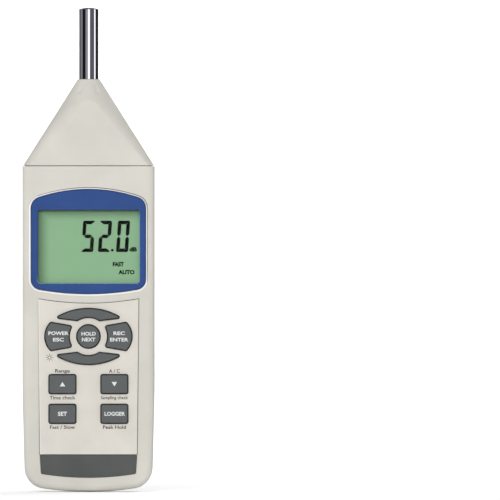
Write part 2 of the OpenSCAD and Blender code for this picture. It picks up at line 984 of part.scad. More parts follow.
function cell_z(i) = tray_z + 0.3 + cell_r + i * cell_pitch;
function cell_side(i) = i % 2 == 0 ? 1 : -1;

module cell_places() {
    for (i = [0:cell_count - 1])
        translate([0, cell_y, cell_z(i)])
            scale_x(cell_side(i))
                children();
}

module scale_x(side) {
    if (side > 0)
        children();
    else
        mirror([1, 0, 0])
            children();
}

plate_t = 0.4;
cell_x0 = plate_t + 0.05 - tray_half_w + 3.8;

module batteries() {
    can_len = cell_len - cell_nub;
    color([0.16, 0.17, 0.19])
        cell_places() {
            rod_x(0, 0, cell_r, cell_x0, cell_x0 + can_len);
            rod_x(0, 0, 2.7, cell_x0 + can_len - 1, cell_x0 + cell_len);
        }
}

module battery_springs() {
    wire_r = 0.5;
    turns = 4;
    turn_pitch = 0.9;
    color(steel)
        cell_places()
            for (i = [0:turns - 1])
                translate([plate_t - tray_half_w + wire_r + eps + i * turn_pitch, 0, 0])
                    rotate([0, 90, 0])
                        rotate_extrude()
                            translate([4 - i * 0.3, 0])
                                circle(r = wire_r, $fn = 24);
}

module battery_plates() {
    half = 6.3;
    color(steel)
        cell_places()
            both_sides()
                block([-tray_half_w + eps, -half, -half], [plate_t - tray_half_w, half, half]);
}

// Two leads from the tray to the board
module battery_leads() {
    lead_r = 0.6;
    lead_y = tray_floor + 2;
    lead_z = tray_top_z + tray_wall + 3;
    color([0.75, 0.10, 0.08])
        for (x = [12, 15]) {
            rod_y(x, lead_z, lead_r, board_back, lead_y);
            translate([x, lead_y, lead_z])
                sphere(r = lead_r);
            translate([x, lead_y, lead_z - 3])
                cylinder(r = lead_r, h = 3);
        }
}

// Nose

// Each half is a rounded body that goes from the case's section to a round
// shoulder, cut flat by a plateau at the front and at the rear. Heights are
// measured from the seam.
nose_sides = 96;
nose_slope = (body_w / 2 - nose_tip_d / 2) / nose_h;
face_slope = (body_d / 2 - nose_shoulder_r) / nose_shoulder_h;
function nose_half_w(h) = body_w / 2 - nose_slope * h;
function nose_half_d(h) = body_d / 2 - face_slope * h;
function below_shoulder(h) = max(0, nose_shoulder_h - h);

// Half width of the plateau
function plateau_w(h) =
    min(nose_half_w(h) - 2.2, 0.72 * below_shoulder(h) + 1.35 * sqrt(below_shoulder(h)));

// Squareness of the rounded body: 2 is round
function nose_power(h) = 2 + 8 * pow(below_shoulder(h) / nose_shoulder_h, 1.3);

// Half depth of the rounded body in the middle, before the plateau cuts it
function nose_bulge(h) =
    nose_half_d(h) / pow(1 - pow(plateau_w(h) / nose_half_w(h), nose_power(h)), 1 / nose_power(h));

function bulged(v, n) = sign(v) * pow(abs(v), 2 / n);

function nose_points(w, d, n) = [
    for (i = [0:nose_sides - 1])
        let (a = 360 * i / nose_sides)
            [w * bulged(cos(a), n), split_y + d * bulged(sin(a), n)]];

module nose_section(h, inset) {
    translate([0, 0, body_h + h])
        linear_extrude(eps)
            polygon(nose_points(nose_half_w(h) - inset, nose_bulge(h) - inset, nose_power(h)));
}

// Space between the front and rear plateau planes
module plateau_slab(inset) {
    low = -5;
    translate([-body_w, 0, body_h])
        rotate([90, 0, 90])
            linear_extrude(2 * body_w)
                polygon([[split_y - nose_half_d(low) + inset, low],
                    [split_y + nose_half_d(low) - inset, low],
                    [split_y + nose_half_d(nose_h) - inset, nose_h],
                    [split_y - nose_half_d(nose_h) + inset, nose_h]]);
}

module nose_solid(inset, h0, h1) {
    levels = [0, 0.25, 0.5, 0.7, 0.85, 0.94];
    intersection() {
        hull() {
            for (k = levels)
                if (k * nose_shoulder_h >= h0)
                    nose_section(k * nose_shoulder_h, inset);
            if (h0 > 0)
                nose_section(h0, inset);
            translate([0, split_y, body_h + nose_shoulder_h])
                cylinder(r = nose_shoulder_r - inset, h = eps);
            translate([0, split_y, body_h + h1 - eps])
                cylinder(r = nose_half_w(h1) - inset, h = eps);
        }
        plateau_slab(inset);
    }
}

// Narrow step around the foot of the nose that leaves a shadow line
module seam_step() {
    step = 0.5;
    difference() {
        block([-body_w, -body_w, body_h - 1], [body_w, body_w, body_h + 0.45]);
        translate([0, 0, body_h - 2])
            linear_extrude(3)
                polygon(section_points(body_w / 2 - step, body_d / 2 - step, edge_r, 7));
    }
}

module tongue(inset) {
    side = wall + tongue_gap + inset;
    y0 = face_in + tongue_gap + inset;
    y1 = back_in - tongue_gap - inset;
    block([side - body_w / 2, y0, tongue_z], [body_w / 2 - side, y1, seat_z + eps]);
}

module nose_shell() {
    slant_wall = wall * 1.2;
    difference() {
        union() {
            nose_solid(0, 0, nose_h);
            tongue(0);
        }
        nose_solid(slant_wall, seat_z - body_h, nose_h - 7);
        translate([0, 0, -1])
            tongue(tongue_t);
        tongue(tongue_t);
        translate([0, split_y, nose_top_z - 10])
            cylinder(r = tip_bore_r, h = 11);
        seam_step();
    }
}

module nose_front() {
    boss_front = front_y + 4;
    color(case_white)
        difference() {
            union() {
                nose_shell();
                both_sides()
                    rod_y(nose_screw_x, nose_screw_z, 3, boss_front, split_y);
            }
            block([-body_w, split_y, 0], [body_w, rear_y + 10, total_h]);
            both_sides()
                rod_y(nose_screw_x, nose_screw_z, screw_r + screw_fit, boss_front + 3, split_y + 1);
        }
}

module nose_rear() {
    boss_rear = rear_y - 5;
    color(case_white)
        difference() {
            union() {
                nose_shell();
                both_sides()
                    rod_y(nose_screw_x, nose_screw_z, boss_r - 0.2, split_y, boss_rear);
                both_sides()
                    rod_y(5, body_h + 14, 1.6, split_y + 0.9, rear_y - 6);
            }
            block([-body_w, front_y - 10, 0], [body_w, split_y, total_h]);
            both_sides() {
                rod_y(nose_screw_x, nose_screw_z, screw_r + 0.15, split_y - 1, rear_y);
                rod_y(nose_screw_x, nose_screw_z, screw_well_r, rear_y - 8, rear_y + 5);
            }
        }
}

module nose_screws() {
    head_y = rear_y - 8;
    color(steel)
        both_sides()
            difference() {
                union() {
                    rod_y(nose_screw_x, nose_screw_z, screw_r, split_y - 10, head_y + eps);
                    rod_y(nose_screw_x, nose_screw_z, screw_head_r, head_y + eps,
                        head_y + screw_head_h);
                }
                cross_slot(nose_screw_x, nose_screw_z, 3, head_y + 0.9);
            }
}

// Microphone

// Round part on the microphone's axis, from height z0 to z1
module on_axis(r, z0, z1) {
    translate([0, split_y, z0])
        cylinder(r = r, h = z1 - z0);
}

module mic_tube() {
    color([0.82, 0.82, 0.84])
        difference() {
            union() {
                on_axis(tube_foot_r, tube_foot_z, nose_top_z + 1);
                on_axis(tube_r, nose_top_z + eps, tube_top_z);
            }
            on_axis(tube_r - tube_wall, tube_foot_z - 1, tube_top_z + 1);
        }
}

// Domed cap with rings of sound holes
module mic_grid() {
    dome_r = (tube_r * tube_r + grid_dome * grid_dome) / (2 * grid_dome);
    hole_r = 0.4;
    spigot = 1.4;
    color([0.82, 0.82, 0.84])
        difference() {
            union() {
                intersection() {
                    on_axis(tube_r, tube_top_z, total_h);
                    translate([0, split_y, total_h - dome_r])
                        sphere(r = dome_r, $fn = 96);
                }
                on_axis(tube_r - tube_wall - eps, tube_top_z - spigot, tube_top_z + 0.1);
            }
            on_axis(tube_r - tube_wall - 0.6, tube_top_z - spigot - 1, tube_top_z + 0.3);
            for (ring = [[1, 0], [6, 1.3], [12, 2.6]])
                for (i = [0:ring[0] - 1])
                    translate([ring[1] * cos(360 * i / ring[0]),
                        split_y + ring[1] * sin(360 * i / ring[0]), tube_top_z - 3])
                        cylinder(r = hole_r, h = 6, $fn = 16);
        }
}

module mic_capsule() {
    color([0.70, 0.70, 0.72])
        difference() {
            on_axis(tube_r - tube_wall - eps, tube_top_z - 9, tube_top_z - 2);
            on_axis(3.2, tube_top_z - 2.6, tube_top_z);
        }
}

module mic_insulator() {
    color(black_plastic)
        difference() {
            on_axis(tube_r - tube_wall - eps, tube_top_z - 13, tube_top_z - 9.1);
            on_axis(1.2, tube_top_z - 14, tube_top_z);
        }
}

module mic_clamp() {
    color(steel)
        difference() {
            on_axis(7, clamp_z, clamp_z + 4.5);
            on_axis(tube_foot_r + eps, clamp_z - 1, clamp_z + 6);
        }
}

module preamp_board() {
    color(board_green)
        block([-8, split_y - 0.8, body_h + 4], [8, split_y + 0.8, tube_foot_z - 3]);
}

// Shielded lead: from the capsule through the tube to the preamplifier, and
// from there to the main board
module mic_cable() {
    cable_r = 0.9;
    land_z = board_top_z - 8;
    color(black_plastic) {
        on_axis(cable_r, tube_foot_z - 3, tube_top_z - 13.1);
        translate([0, split_y, land_z])
            cylinder(r = cable_r, h = body_h + 4 - land_z);
        rod_y(0, land_z, cable_r, board_back, split_y);
        translate([0, split_y, land_z])
            sphere(r = cable_r);
    }
}

front_case();
rear_case();
nose_front();
nose_rear();
display_bezel();
display_window();
keypad_panel();
lower_trim();
battery_cover();
battery_cover_screws();
case_screws();
nose_screws();
stand();
stand_pin();
tripod_insert();
jack_cover();
jack_cover_pin();
power_key();
hold_key();
record_key();
upper_blank_key();
lower_blank_key();
up_key();
down_key();
set_key();
logger_key();
keypad_web();
key_contacts();
lcd_glass();
lcd_backlight();
lcd_frame();
zebra_strips();
main_board();
board_chips();
board_screws();
sd_socket();
sd_card();
dc_jack();
serial_jack();
analog_jack();
reset_switch();
reset_button();
cal_trimmer();
cal_rotor();
batteries();
battery_springs();
battery_plates();
battery_leads();
mic_tube();
mic_grid();
mic_capsule();
mic_insulator();
mic_clamp();
preamp_board();
mic_cable();
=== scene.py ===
"""Looks of the sound level meter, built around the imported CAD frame. Metres, +Z up."""
import json
import math

import bmesh
import bpy
from mathutils import Matrix, Vector


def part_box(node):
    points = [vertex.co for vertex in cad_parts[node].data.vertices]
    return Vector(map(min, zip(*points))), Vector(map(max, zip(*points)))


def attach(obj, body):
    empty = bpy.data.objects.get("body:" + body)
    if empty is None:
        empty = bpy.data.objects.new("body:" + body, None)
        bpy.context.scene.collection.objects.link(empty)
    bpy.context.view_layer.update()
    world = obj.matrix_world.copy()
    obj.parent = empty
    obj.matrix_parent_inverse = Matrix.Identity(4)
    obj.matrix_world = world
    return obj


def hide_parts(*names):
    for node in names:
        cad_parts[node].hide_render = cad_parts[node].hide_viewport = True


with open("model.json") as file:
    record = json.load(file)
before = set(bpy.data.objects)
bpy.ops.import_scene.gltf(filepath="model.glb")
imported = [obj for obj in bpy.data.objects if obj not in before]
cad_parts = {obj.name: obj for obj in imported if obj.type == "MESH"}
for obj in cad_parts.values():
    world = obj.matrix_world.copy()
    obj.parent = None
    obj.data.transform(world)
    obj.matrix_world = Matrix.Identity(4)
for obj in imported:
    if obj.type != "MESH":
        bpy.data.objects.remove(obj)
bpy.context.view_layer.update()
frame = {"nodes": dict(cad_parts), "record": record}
MM = 0.001
NODES = frame["nodes"]
BODY_OF = {n: body for body, names in frame["record"]["behaviour"]["bodies"].items() for n in names}


def srgb(r, g, b):
    """Linear colour of 8-bit display values."""
    def linear(v):
        v /= 255
        return v / 12.92 if v <= 0.04045 else ((v + 0.055) / 1.055) ** 2.4
    return (linear(r), linear(g), linear(b), 1.0)


def box_mid(node):
    low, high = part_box(node)
    return (low + high) / 2


# Node-tree helpers


class Tree:
    """Short calls for building one node tree."""

    def __init__(self, tree):
        self.tree = tree
        self.tree.nodes.clear()

    def add(self, kind, **values):
        node = self.tree.nodes.new(kind)
        for key, value in values.items():
            if key.startswith("in_"):
                self.put(node.inputs[int(key[3:])], value)
            else:
                setattr(node, key, value)
        return node

    def put(self, socket, value):
        if isinstance(value, bpy.types.NodeSocket):
            self.tree.links.new(value, socket)
        else:
            socket.default_value = value

    def feed(self, node, values):
        """Puts a value or a link into sockets of a node, by name."""
        for key, value in values.items():
            self.put(node.inputs[key], value)

    def math(self, operation, a, b=0.0, clamp=False):
        node = self.add("ShaderNodeMath", operation=operation, use_clamp=clamp, in_0=a, in_1=b)
        return node.outputs[0]

    def mix(self, factor, a, b, blend="MIX"):
        node = self.add("ShaderNodeMix", data_type="RGBA", blend_type=blend, in_0=factor,
                        in_6=a, in_7=b)
        return node.outputs[2]

    def remap(self, value, low, high, to_low, to_high):
        node = self.add("ShaderNodeMapRange", in_0=value, in_1=low, in_2=high, in_3=to_low,
                        in_4=to_high)
        return node.outputs[0]

    def noise(self, vector, size_mm, detail=3.0, rough=0.5):
        node = self.add("ShaderNodeTexNoise", in_0=vector, in_2=1 / (size_mm * MM), in_3=detail,
                        in_4=rough)
        return node.outputs["Fac"]

    def cells(self, vector, size_mm):
        node = self.add("ShaderNodeTexVoronoi", feature="SMOOTH_F1")
        self.feed(node, {"Vector": vector, "Scale": 1 / (size_mm * MM)})
        return node.outputs["Distance"]

    def bump(self, height, depth_mm):
        node = self.add("ShaderNodeBump")
        self.feed(node, {"Strength": 1.0, "Distance": depth_mm * MM, "Height": height})
        return node.outputs[0]

    def axes(self, vector):
        """Three outputs: X, Y and Z of a vector."""
        return self.add("ShaderNodeSeparateXYZ", in_0=vector).outputs

    def dot(self, a, b):
        node = self.add("ShaderNodeVectorMath", operation="DOT_PRODUCT", in_0=a, in_1=b)
        return node.outputs["Value"]

    def normal(self):
        return self.add("ShaderNodeNewGeometry").outputs["Normal"]

    def object_coords(self, stretch=(1, 1, 1)):
        coords = self.add("ShaderNodeTexCoord").outputs["Object"]
        if stretch == (1, 1, 1):
            return coords
        node = self.add("ShaderNodeMapping")
        self.feed(node, {"Vector": coords, "Scale": stretch})
        return node.outputs[0]

    def edge_mask(self, radius_mm, gain):
        """1 on convex and concave edges, 0 on flat faces."""
        bevel = self.add("ShaderNodeBevel", samples=4)
        self.put(bevel.inputs["Radius"], radius_mm * MM)
        turned = self.math("SUBTRACT", 1.0, self.dot(bevel.outputs[0], self.normal()))
        return self.math("MULTIPLY", turned, gain, True)


def toned(colour, factor, lift=0.0):
    """The colour multiplied and lifted, at most 1 in each channel."""
    return tuple(min(1, c * factor + lift) for c in colour[:3]) + (1.0,)


def material(name, base, build):
    """New material with a Principled shader that build(tree, shader) finishes."""
    mat = bpy.data.materials.new(name)
    mat.use_nodes = True
    tree = Tree(mat.node_tree)
    shader = tree.add("ShaderNodeBsdfPrincipled")
    out = tree.add("ShaderNodeOutputMaterial")
    tree.put(out.inputs["Surface"], shader.outputs[0])
    tree.put(shader.inputs["Base Color"], base)
    mat.diffuse_color = base
    build(tree, shader)
    return mat


def plastic(name, base, rough=0.45, grain_mm=0.35, depth_mm=0.012, tone=0.04, wear=0.10,
            specular=0.4, stain_and_painted_light=None):
    """Moulded plastic: spark-eroded grain, faint clouds of tone, handled edges. An optional
    function of the tree, the coordinates and the colour returns a new colour; the ones given here
    paint shade and highlights."""
    def build(tree, shader):
        coords = tree.object_coords()
        clouds = tree.noise(coords, 22, 4)
        speckle = tree.noise(coords, 0.9, 2)
        dark = toned(base, 1 - tone)
        light = toned(base, 1 + tone)
        colour = tree.mix(tree.remap(clouds, 0.35, 0.65, 0, 1), dark, light)
        colour = tree.mix(tree.remap(speckle, 0.3, 0.7, 0, tone), colour, dark)
        if wear:
            edge = tree.edge_mask(0.5, 2.2)
            scuffed = tree.math("MULTIPLY", edge, tree.remap(clouds, 0.3, 0.7, 0.4, 1))
            pale = toned(base, 1.25, 0.02)
            colour = tree.mix(tree.math("MULTIPLY", scuffed, wear * 4, True), colour, pale)
        # Painted shade or highlights, where such a function is given
        if stain_and_painted_light:
            colour = stain_and_painted_light(tree, coords, colour)
        ripple = tree.math("MULTIPLY", tree.noise(coords, grain_mm * 0.6, 2), 0.6)
        height = tree.math("ADD", tree.cells(coords, grain_mm), ripple)
        handled = tree.noise(coords, 9, 3)
        tree.feed(shader, {
            "Base Color": colour,
            "Normal": tree.bump(height, depth_mm),
            "Roughness": tree.remap(handled, 0.3, 0.7, rough - 0.05, rough + 0.06),
            "Specular IOR Level": specular,
        })
    return material(name, base, build)


def front_facing(tree, low, high):
    """0 on faces turned away from -Y, 1 on faces that look straight along it."""
    towards_front = tree.math("MULTIPLY", tree.axes(tree.normal())[1], -1)
    return tree.remap(towards_front, low, high, 0, 1)


def upper_right_of(tree, coords, middle, slope, soft_mm):
    """1 to the right of and above a line through a point, 0 on its other side."""
    x, _, z = tree.axes(coords)
    across = tree.math("MULTIPLY", tree.math("SUBTRACT", x, middle.x), slope)
    up = tree.math("SUBTRACT", z, middle.z)
    return tree.remap(tree.math("ADD", across, up), -soft_mm * MM, soft_mm * MM, 0, 1)


# Towards the upper right, where painted shade falls, and how much a step across counts against a
# step up on the bezel
UPPER_RIGHT = (0.65, 0, 0.76)
BEZEL_SLOPE = 0.6
LOW_SIDE_SLOPE = -0.65
# Colour of the painted shade in the front case's gaps
GAP_SHADE_COLOUR = srgb(74, 68, 60)


def painted_gap_shade(tree, coords, colour):
    """Painted shade in the narrow gaps above and to the right of the inlays of the front case."""
    occlusion = tree.add("ShaderNodeAmbientOcclusion", samples=6)
    tree.put(occlusion.inputs["Distance"], 0.7 * MM)
    narrow = tree.remap(occlusion.outputs["AO"], 0.5, 0.9, 1, 0)
    bezel_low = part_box("display_bezel")[0]
    panel_low, panel_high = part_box("keypad_panel")
    x, _, z = tree.axes(coords)
    bezel_side = upper_right_of(tree, coords, box_mid("display_bezel"), BEZEL_SLOPE, 6)
    panel_side = tree.remap(x, panel_low.x, panel_low.x + 0.6 * MM, 0, 1)
    on_panel = tree.math("LESS_THAN", z, (bezel_low.z + panel_high.z) / 2)
    side = tree.mix(on_panel, bezel_side, panel_side)
    # Painted shade where ambient occlusion finds a narrow gap on the shaded sides
    gap_shade_amount = tree.math("MULTIPLY", tree.math("MULTIPLY", narrow, side), 0.9)
    return tree.mix(gap_shade_amount, colour, GAP_SHADE_COLOUR)


def painted_facing_shade(direction, tone, strength):
    """Painted shade on the faces of a rim that lean towards one direction."""
    def stain_and_painted_light(tree, coords, colour):
        lean = tree.remap(tree.dot(tree.normal(), direction), 0.2, 0.45, 0, strength)
        return tree.mix(lean, colour, tone)
    return stain_and_painted_light


def bezel_painted_shade_and_highlight(tree, coords, colour):
    """Painted shade on the outer edge above and to the right, and a painted highlight on the
    opening's edge at its low side.
    """
    low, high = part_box("display_window")
    middle, reach = (low + high) / 2, (high - low) / 2
    x, _, z = tree.axes(coords)
    inside = 1.0
    for place, centre, half in ((x, middle.x, reach.x), (z, middle.z, reach.z)):
        away = tree.math("ABSOLUTE", tree.math("SUBTRACT", place, centre))
        inside = tree.math("MULTIPLY", tree.math("LESS_THAN", away, half + 0.6 * MM), inside)
    outside = tree.math("SUBTRACT", 1.0, inside)
    above = upper_right_of(tree, coords, middle, BEZEL_SLOPE, 6)
    below = tree.math("SUBTRACT", 1.0, upper_right_of(tree, coords, middle, LOW_SIDE_SLOPE, 2))
    edge = tree.edge_mask(0.8, 14)
    outer = tree.math("MULTIPLY", tree.math("MULTIPLY", edge, outside), above)
    inner = tree.math("MULTIPLY", tree.math("MULTIPLY", edge, inside), below)
    # Dark navy painted shade outside the opening, pale painted highlight inside it
    colour = tree.mix(tree.math("MULTIPLY", outer, 0.9), colour, srgb(26, 38, 74))
    return tree.mix(tree.math("MULTIPLY", inner, 0.8), colour, srgb(176, 208, 206))


def panel_painted_highlight(tree, coords, colour):
    """Painted highlight on the edge along the left side of the key panel."""
    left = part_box("keypad_panel")[0].x
    along = tree.math("LESS_THAN", tree.axes(coords)[0], left + 2.2 * MM)
    edge = tree.math("MULTIPLY", tree.edge_mask(1.0, 20), along)
    return tree.mix(tree.math("MULTIPLY", edge, 0.9), colour, srgb(252, 251, 248))


def key_with_painted_gap_shade(name, base, rim, top_y):
    """Key cap with grey print over its flat top, worn thin in places; its rounded edges and sides
    are near-black, a painted shade that darkens the gap around the key.
    """
    def build(tree, shader):
        coords = tree.object_coords()
        on_top = tree.remap(tree.axes(coords)[1], top_y + 0.2 * MM, top_y + 0.3 * MM, 1, 0)
        inner = tree.math("SUBTRACT", 1.0, tree.edge_mask(0.9, 20))
        flat = tree.math("MULTIPLY", front_facing(tree, 0.94, 0.995), inner)
        printed = tree.math("MULTIPLY", on_top, flat)
        dust = tree.noise(coords, 5, 5, 0.6)
        pits = tree.noise(coords, 0.25, 3)
        top = tree.mix(tree.remap(dust, 0.35, 0.75, 0, 0.5), base, toned(base, 1.16, 0.003))
        tree.feed(shader, {
            # Grey on the flat top, painted shade on the edges and sides
            "Base Color": tree.mix(printed, rim, top),
            "Normal": tree.bump(pits, 0.012),
            "Roughness": tree.remap(dust, 0.3, 0.7, 0.55, 0.7),
            "Specular IOR Level": 0.3,
        })
    return material(name, base, build)


def rubber(name, base):
    """Matte silicone: fine pitting, dusty patches and slightly rubbed edges."""
    def build(tree, shader):
        coords = tree.object_coords()
        dust = tree.noise(coords, 5, 5, 0.6)
        pits = tree.noise(coords, 0.25, 3)
        pale = toned(base, 1.22, 0.004)
        rubbed = tuple(c * 1.6 + 0.02 for c in base[:3]) + (1.0,)
        colour = tree.mix(tree.remap(dust, 0.35, 0.75, 0, 0.5), base, pale)
        edge = tree.math("MULTIPLY", tree.edge_mask(0.35, 1.6), 0.55)
        colour = tree.mix(edge, colour, rubbed)
        tree.feed(shader, {
            "Base Color": colour,
            "Normal": tree.bump(pits, 0.012),
            "Roughness": tree.remap(dust, 0.3, 0.7, 0.56, 0.72),
            "Sheen Weight": 0.15,
            "Specular IOR Level": 0.35,
        })
    return material(name, base, build)


def metal(name, base, rough, along, brush_mm, depth_mm=0.002, stain_and_painted_light=0.05):
    """Metal with fine tool marks along one direction and faint tarnish."""
    def build(tree, shader):
        brushed = tree.noise(tree.object_coords(along), brush_mm, 3)
        patches = tree.noise(tree.object_coords(), 6, 4)
        tarnish = tree.remap(patches, 0.4, 0.7, 0, 1)
        marks = tree.remap(brushed, 0.3, 0.7, rough * 0.7, rough * 1.3)
        colour = tree.mix(tarnish, base, toned(base, 1 - 2 * stain_and_painted_light))
        tree.feed(shader, {
            "Base Color": colour,
            "Metallic": 1.0,
            "Roughness": marks,
            "Normal": tree.bump(brushed, depth_mm),
        })
    return material(name, base, build)


def circuit_board(name):
    """Green solder mask over copper tracks and ground fill."""
    mask = srgb(24, 92, 50)
    def build(tree, shader):
        coords = tree.object_coords()
        brick = tree.add("ShaderNodeTexBrick", offset=0.35, squash=0.6)
        tree.feed(brick, {"Vector": coords, "Scale": 420, "Mortar Size": 0.035})
        tracks = brick.outputs["Fac"]
        fill = tree.remap(tree.noise(coords, 12, 2), 0.48, 0.52, 0, 0.35)
        colour = tree.mix(tree.math("MAXIMUM", fill, tracks), mask, srgb(46, 126, 66))
        tree.feed(shader, {
            "Base Color": colour,
            "Roughness": 0.32,
            "Coat Weight": 0.4,
            "Normal": tree.bump(tracks, 0.03),
        })
    return material(name, mask, build)


def display_cell(name, low, high):
    """Reflective liquid crystal: pale green with a fine weave. A painted shadow of the window's
    frame darkens it along the left and upper edges."""
    base = srgb(160, 198, 162)
    def build(tree, shader):
        coords = tree.object_coords()
        cloud = tree.noise(coords, 26, 2)
        weave = tree.noise(tree.object_coords((1, 1, 8)), 0.12, 2)
        colour = tree.mix(tree.remap(cloud, 0.3, 0.7, 0, 1), base, srgb(157, 195, 159))
        colour = tree.mix(tree.remap(weave, 0.4, 0.6, 0, 0.06), colour, srgb(120, 160, 125))
        # Painted shadow along the left and upper edges of the window
        x, _, z = tree.axes(coords)
        lap = 0.9 * MM
        left, top = low.x + lap, high.z - lap
        from_left = tree.remap(x, left, left + 6.7 * MM, 1, 0)
        from_top = tree.remap(z, top - 5.7 * MM, top, 0, 1)
        left_shade = tree.math("MULTIPLY", tree.math("POWER", from_left, 1.3), 0.66)
        top_shade = tree.math("MULTIPLY", tree.math("POWER", from_top, 1.3), 0.66)
        shade = tree.math("MAXIMUM", left_shade, top_shade)
        both = tree.math("MULTIPLY", left_shade, top_shade)
        shade = tree.math("ADD", shade, tree.math("MULTIPLY", both, 0.3), True)
        colour = tree.mix(shade, colour, srgb(22, 30, 22))
        tree.feed(shader, {
            "Base Color": colour,
            "Roughness": 0.55,
            "Specular IOR Level": 0.15,
            "Normal": tree.bump(weave, 0.002),
        })
    return material(name, base, build)


def clear_window(name):
    """Clear acrylic: see-through, with a faint reflection and hairline scratches."""
    mat = bpy.data.materials.new(name)
    mat.use_nodes = True
    tree = Tree(mat.node_tree)
    coords = tree.object_coords((1, 1, 0.05))
    scratches = tree.remap(tree.noise(coords, 0.2, 4), 0.62, 0.7, 0, 1)
    glossy = tree.add("ShaderNodeBsdfGlossy")
    tree.feed(glossy, {
        "Color": (0.9, 0.95, 0.92, 1),
        "Roughness": tree.remap(scratches, 0, 1, 0.04, 0.3),
        "Normal": tree.bump(scratches, 0.002),
    })
    clear = tree.add("ShaderNodeBsdfTransparent")
    tree.put(clear.inputs["Color"], (0.965, 0.98, 0.965, 1))
    fresnel = tree.add("ShaderNodeFresnel")
    tree.put(fresnel.inputs["IOR"], 1.12)
    mixed = tree.add("ShaderNodeMixShader", in_0=fresnel.outputs[0], in_1=clear.outputs[0],
                     in_2=glossy.outputs[0])
    out = tree.add("ShaderNodeOutputMaterial")
    tree.put(out.inputs["Surface"], mixed.outputs[0])
    mat.diffuse_color = (0.75, 0.85, 0.75, 0.3)
    return mat


def battery_sleeve(name):
    """Dark printed sleeve with a metallic copper-coloured end band."""
    body, copper = srgb(28, 30, 36), srgb(184, 126, 78)
    band_from = 16.5 * MM
    def build(tree, shader):
        coords = tree.object_coords()
        band = tree.math("GREATER_THAN", tree.math("ABSOLUTE", tree.axes(coords)[0]), band_from)
        grime = tree.noise(coords, 7, 4)
        colour = tree.mix(band, body, copper)
        colour = tree.mix(tree.remap(grime, 0.4, 0.8, 0, 0.25), colour, srgb(60, 60, 64))
        tree.feed(shader, {
            "Base Color": colour,
            "Metallic": tree.math("MULTIPLY", band, 0.8),
            "Roughness": tree.remap(grime, 0.3, 0.7, 0.25, 0.42),
            "Normal": tree.bump(grime, 0.01),
        })
    return material(name, body, build)


def printed_ink(name, base, specular=0.3):
    """Pad-printed ink with slightly uneven cover."""
    def build(tree, shader):
        patch = tree.noise(tree.object_coords(), 0.5, 3)
        faded = toned(base, 0.92, 0.004)
        colour = tree.mix(tree.remap(patch, 0.4, 0.7, 0, 0.5), base, faded)
        tree.feed(shader, {
            "Base Color": colour,
            "Specular IOR Level": specular,
            "Roughness": 0.55,
            "Normal": tree.bump(patch, 0.005),
        })
    return material(name, base, build)


CASE = plastic("case_plastic", srgb(219, 216, 208), rough=0.5, specular=0.3)
# Case plastic with painted shade in its narrow gaps
FRONT_CASE = plastic("front_case_plastic", srgb(219, 216, 208), rough=0.5, specular=0.3,
                     stain_and_painted_light=painted_gap_shade)
# Panel plastic with a painted highlight on its left edge
PANEL = plastic("panel_plastic", srgb(227, 223, 214), rough=0.42, grain_mm=0.2, depth_mm=0.006,
                specular=0.3, stain_and_painted_light=panel_painted_highlight)
# Blue bezel with painted shade and a painted highlight on its edges
BEZEL = plastic("bezel_plastic", srgb(48, 78, 138), rough=0.42, grain_mm=0.2, depth_mm=0.004,
                tone=0.05, wear=0.04, specular=0.25, stain_and_painted_light=bezel_painted_shade_and_highlight)
TRIM = plastic("trim_plastic", srgb(88, 91, 89), rough=0.5, grain_mm=0.3, tone=0.08, wear=0.06,
               specular=0.3)
# Near-black rim colour: painted shade for the gap around each key
KEY = key_with_painted_gap_shade("key_rubber", srgb(97, 100, 101), srgb(20, 18, 17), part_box("hold_key")[0].y)
WEB = rubber("web_rubber", srgb(40, 40, 42))
BLACK = plastic("black_plastic", srgb(28, 28, 30), rough=0.42, wear=0.0, tone=0.1)
FRAME = plastic("frame_plastic", srgb(205, 205, 200), rough=0.5, wear=0.0)
CREAM = plastic("rotor_nylon", srgb(226, 220, 198), rough=0.5, wear=0.05)
TRIMMER = plastic("trimmer_plastic", srgb(34, 72, 152), rough=0.3, wear=0.0)
RED = plastic("red_plastic", srgb(176, 34, 28), rough=0.35, wear=0.05)
GREEN = plastic("socket_green", srgb(52, 110, 70), rough=0.4, wear=0.0)
CARD = plastic("card_plastic", srgb(32, 44, 88), rough=0.4, wear=0.06, tone=0.08)
STEEL = metal("zinc_steel", (0.60, 0.61, 0.63, 1), 0.30, along=(1, 1, 1), brush_mm=0.4)
CHROME = metal("tube_chrome", (0.88, 0.88, 0.91, 1), 0.045, along=(1, 1, 0.03), brush_mm=0.3,
               depth_mm=0.0003, stain_and_painted_light=0.02)
BRASS = metal("insert_brass", (0.78, 0.56, 0.22, 1), 0.28, along=(1, 0.05, 1), brush_mm=0.3)
BOARD = circuit_board("circuit_board")
LCD = display_cell("display_cell", *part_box("display_window"))
WINDOW = clear_window("window_acrylic")
CELLS = battery_sleeve("battery_sleeve")
ZEBRA = rubber("elastomer_pink", srgb(208, 120, 150))
LIGHT = plastic("light_guide", srgb(238, 240, 232), rough=0.25, wear=0.0)
INK_BLACK = printed_ink("ink_black", srgb(38, 38, 40))
INK_WHITE = printed_ink("ink_white", srgb(236, 238, 238))
SEGMENT = printed_ink("lcd_segment", srgb(2, 4, 3), 0.08)

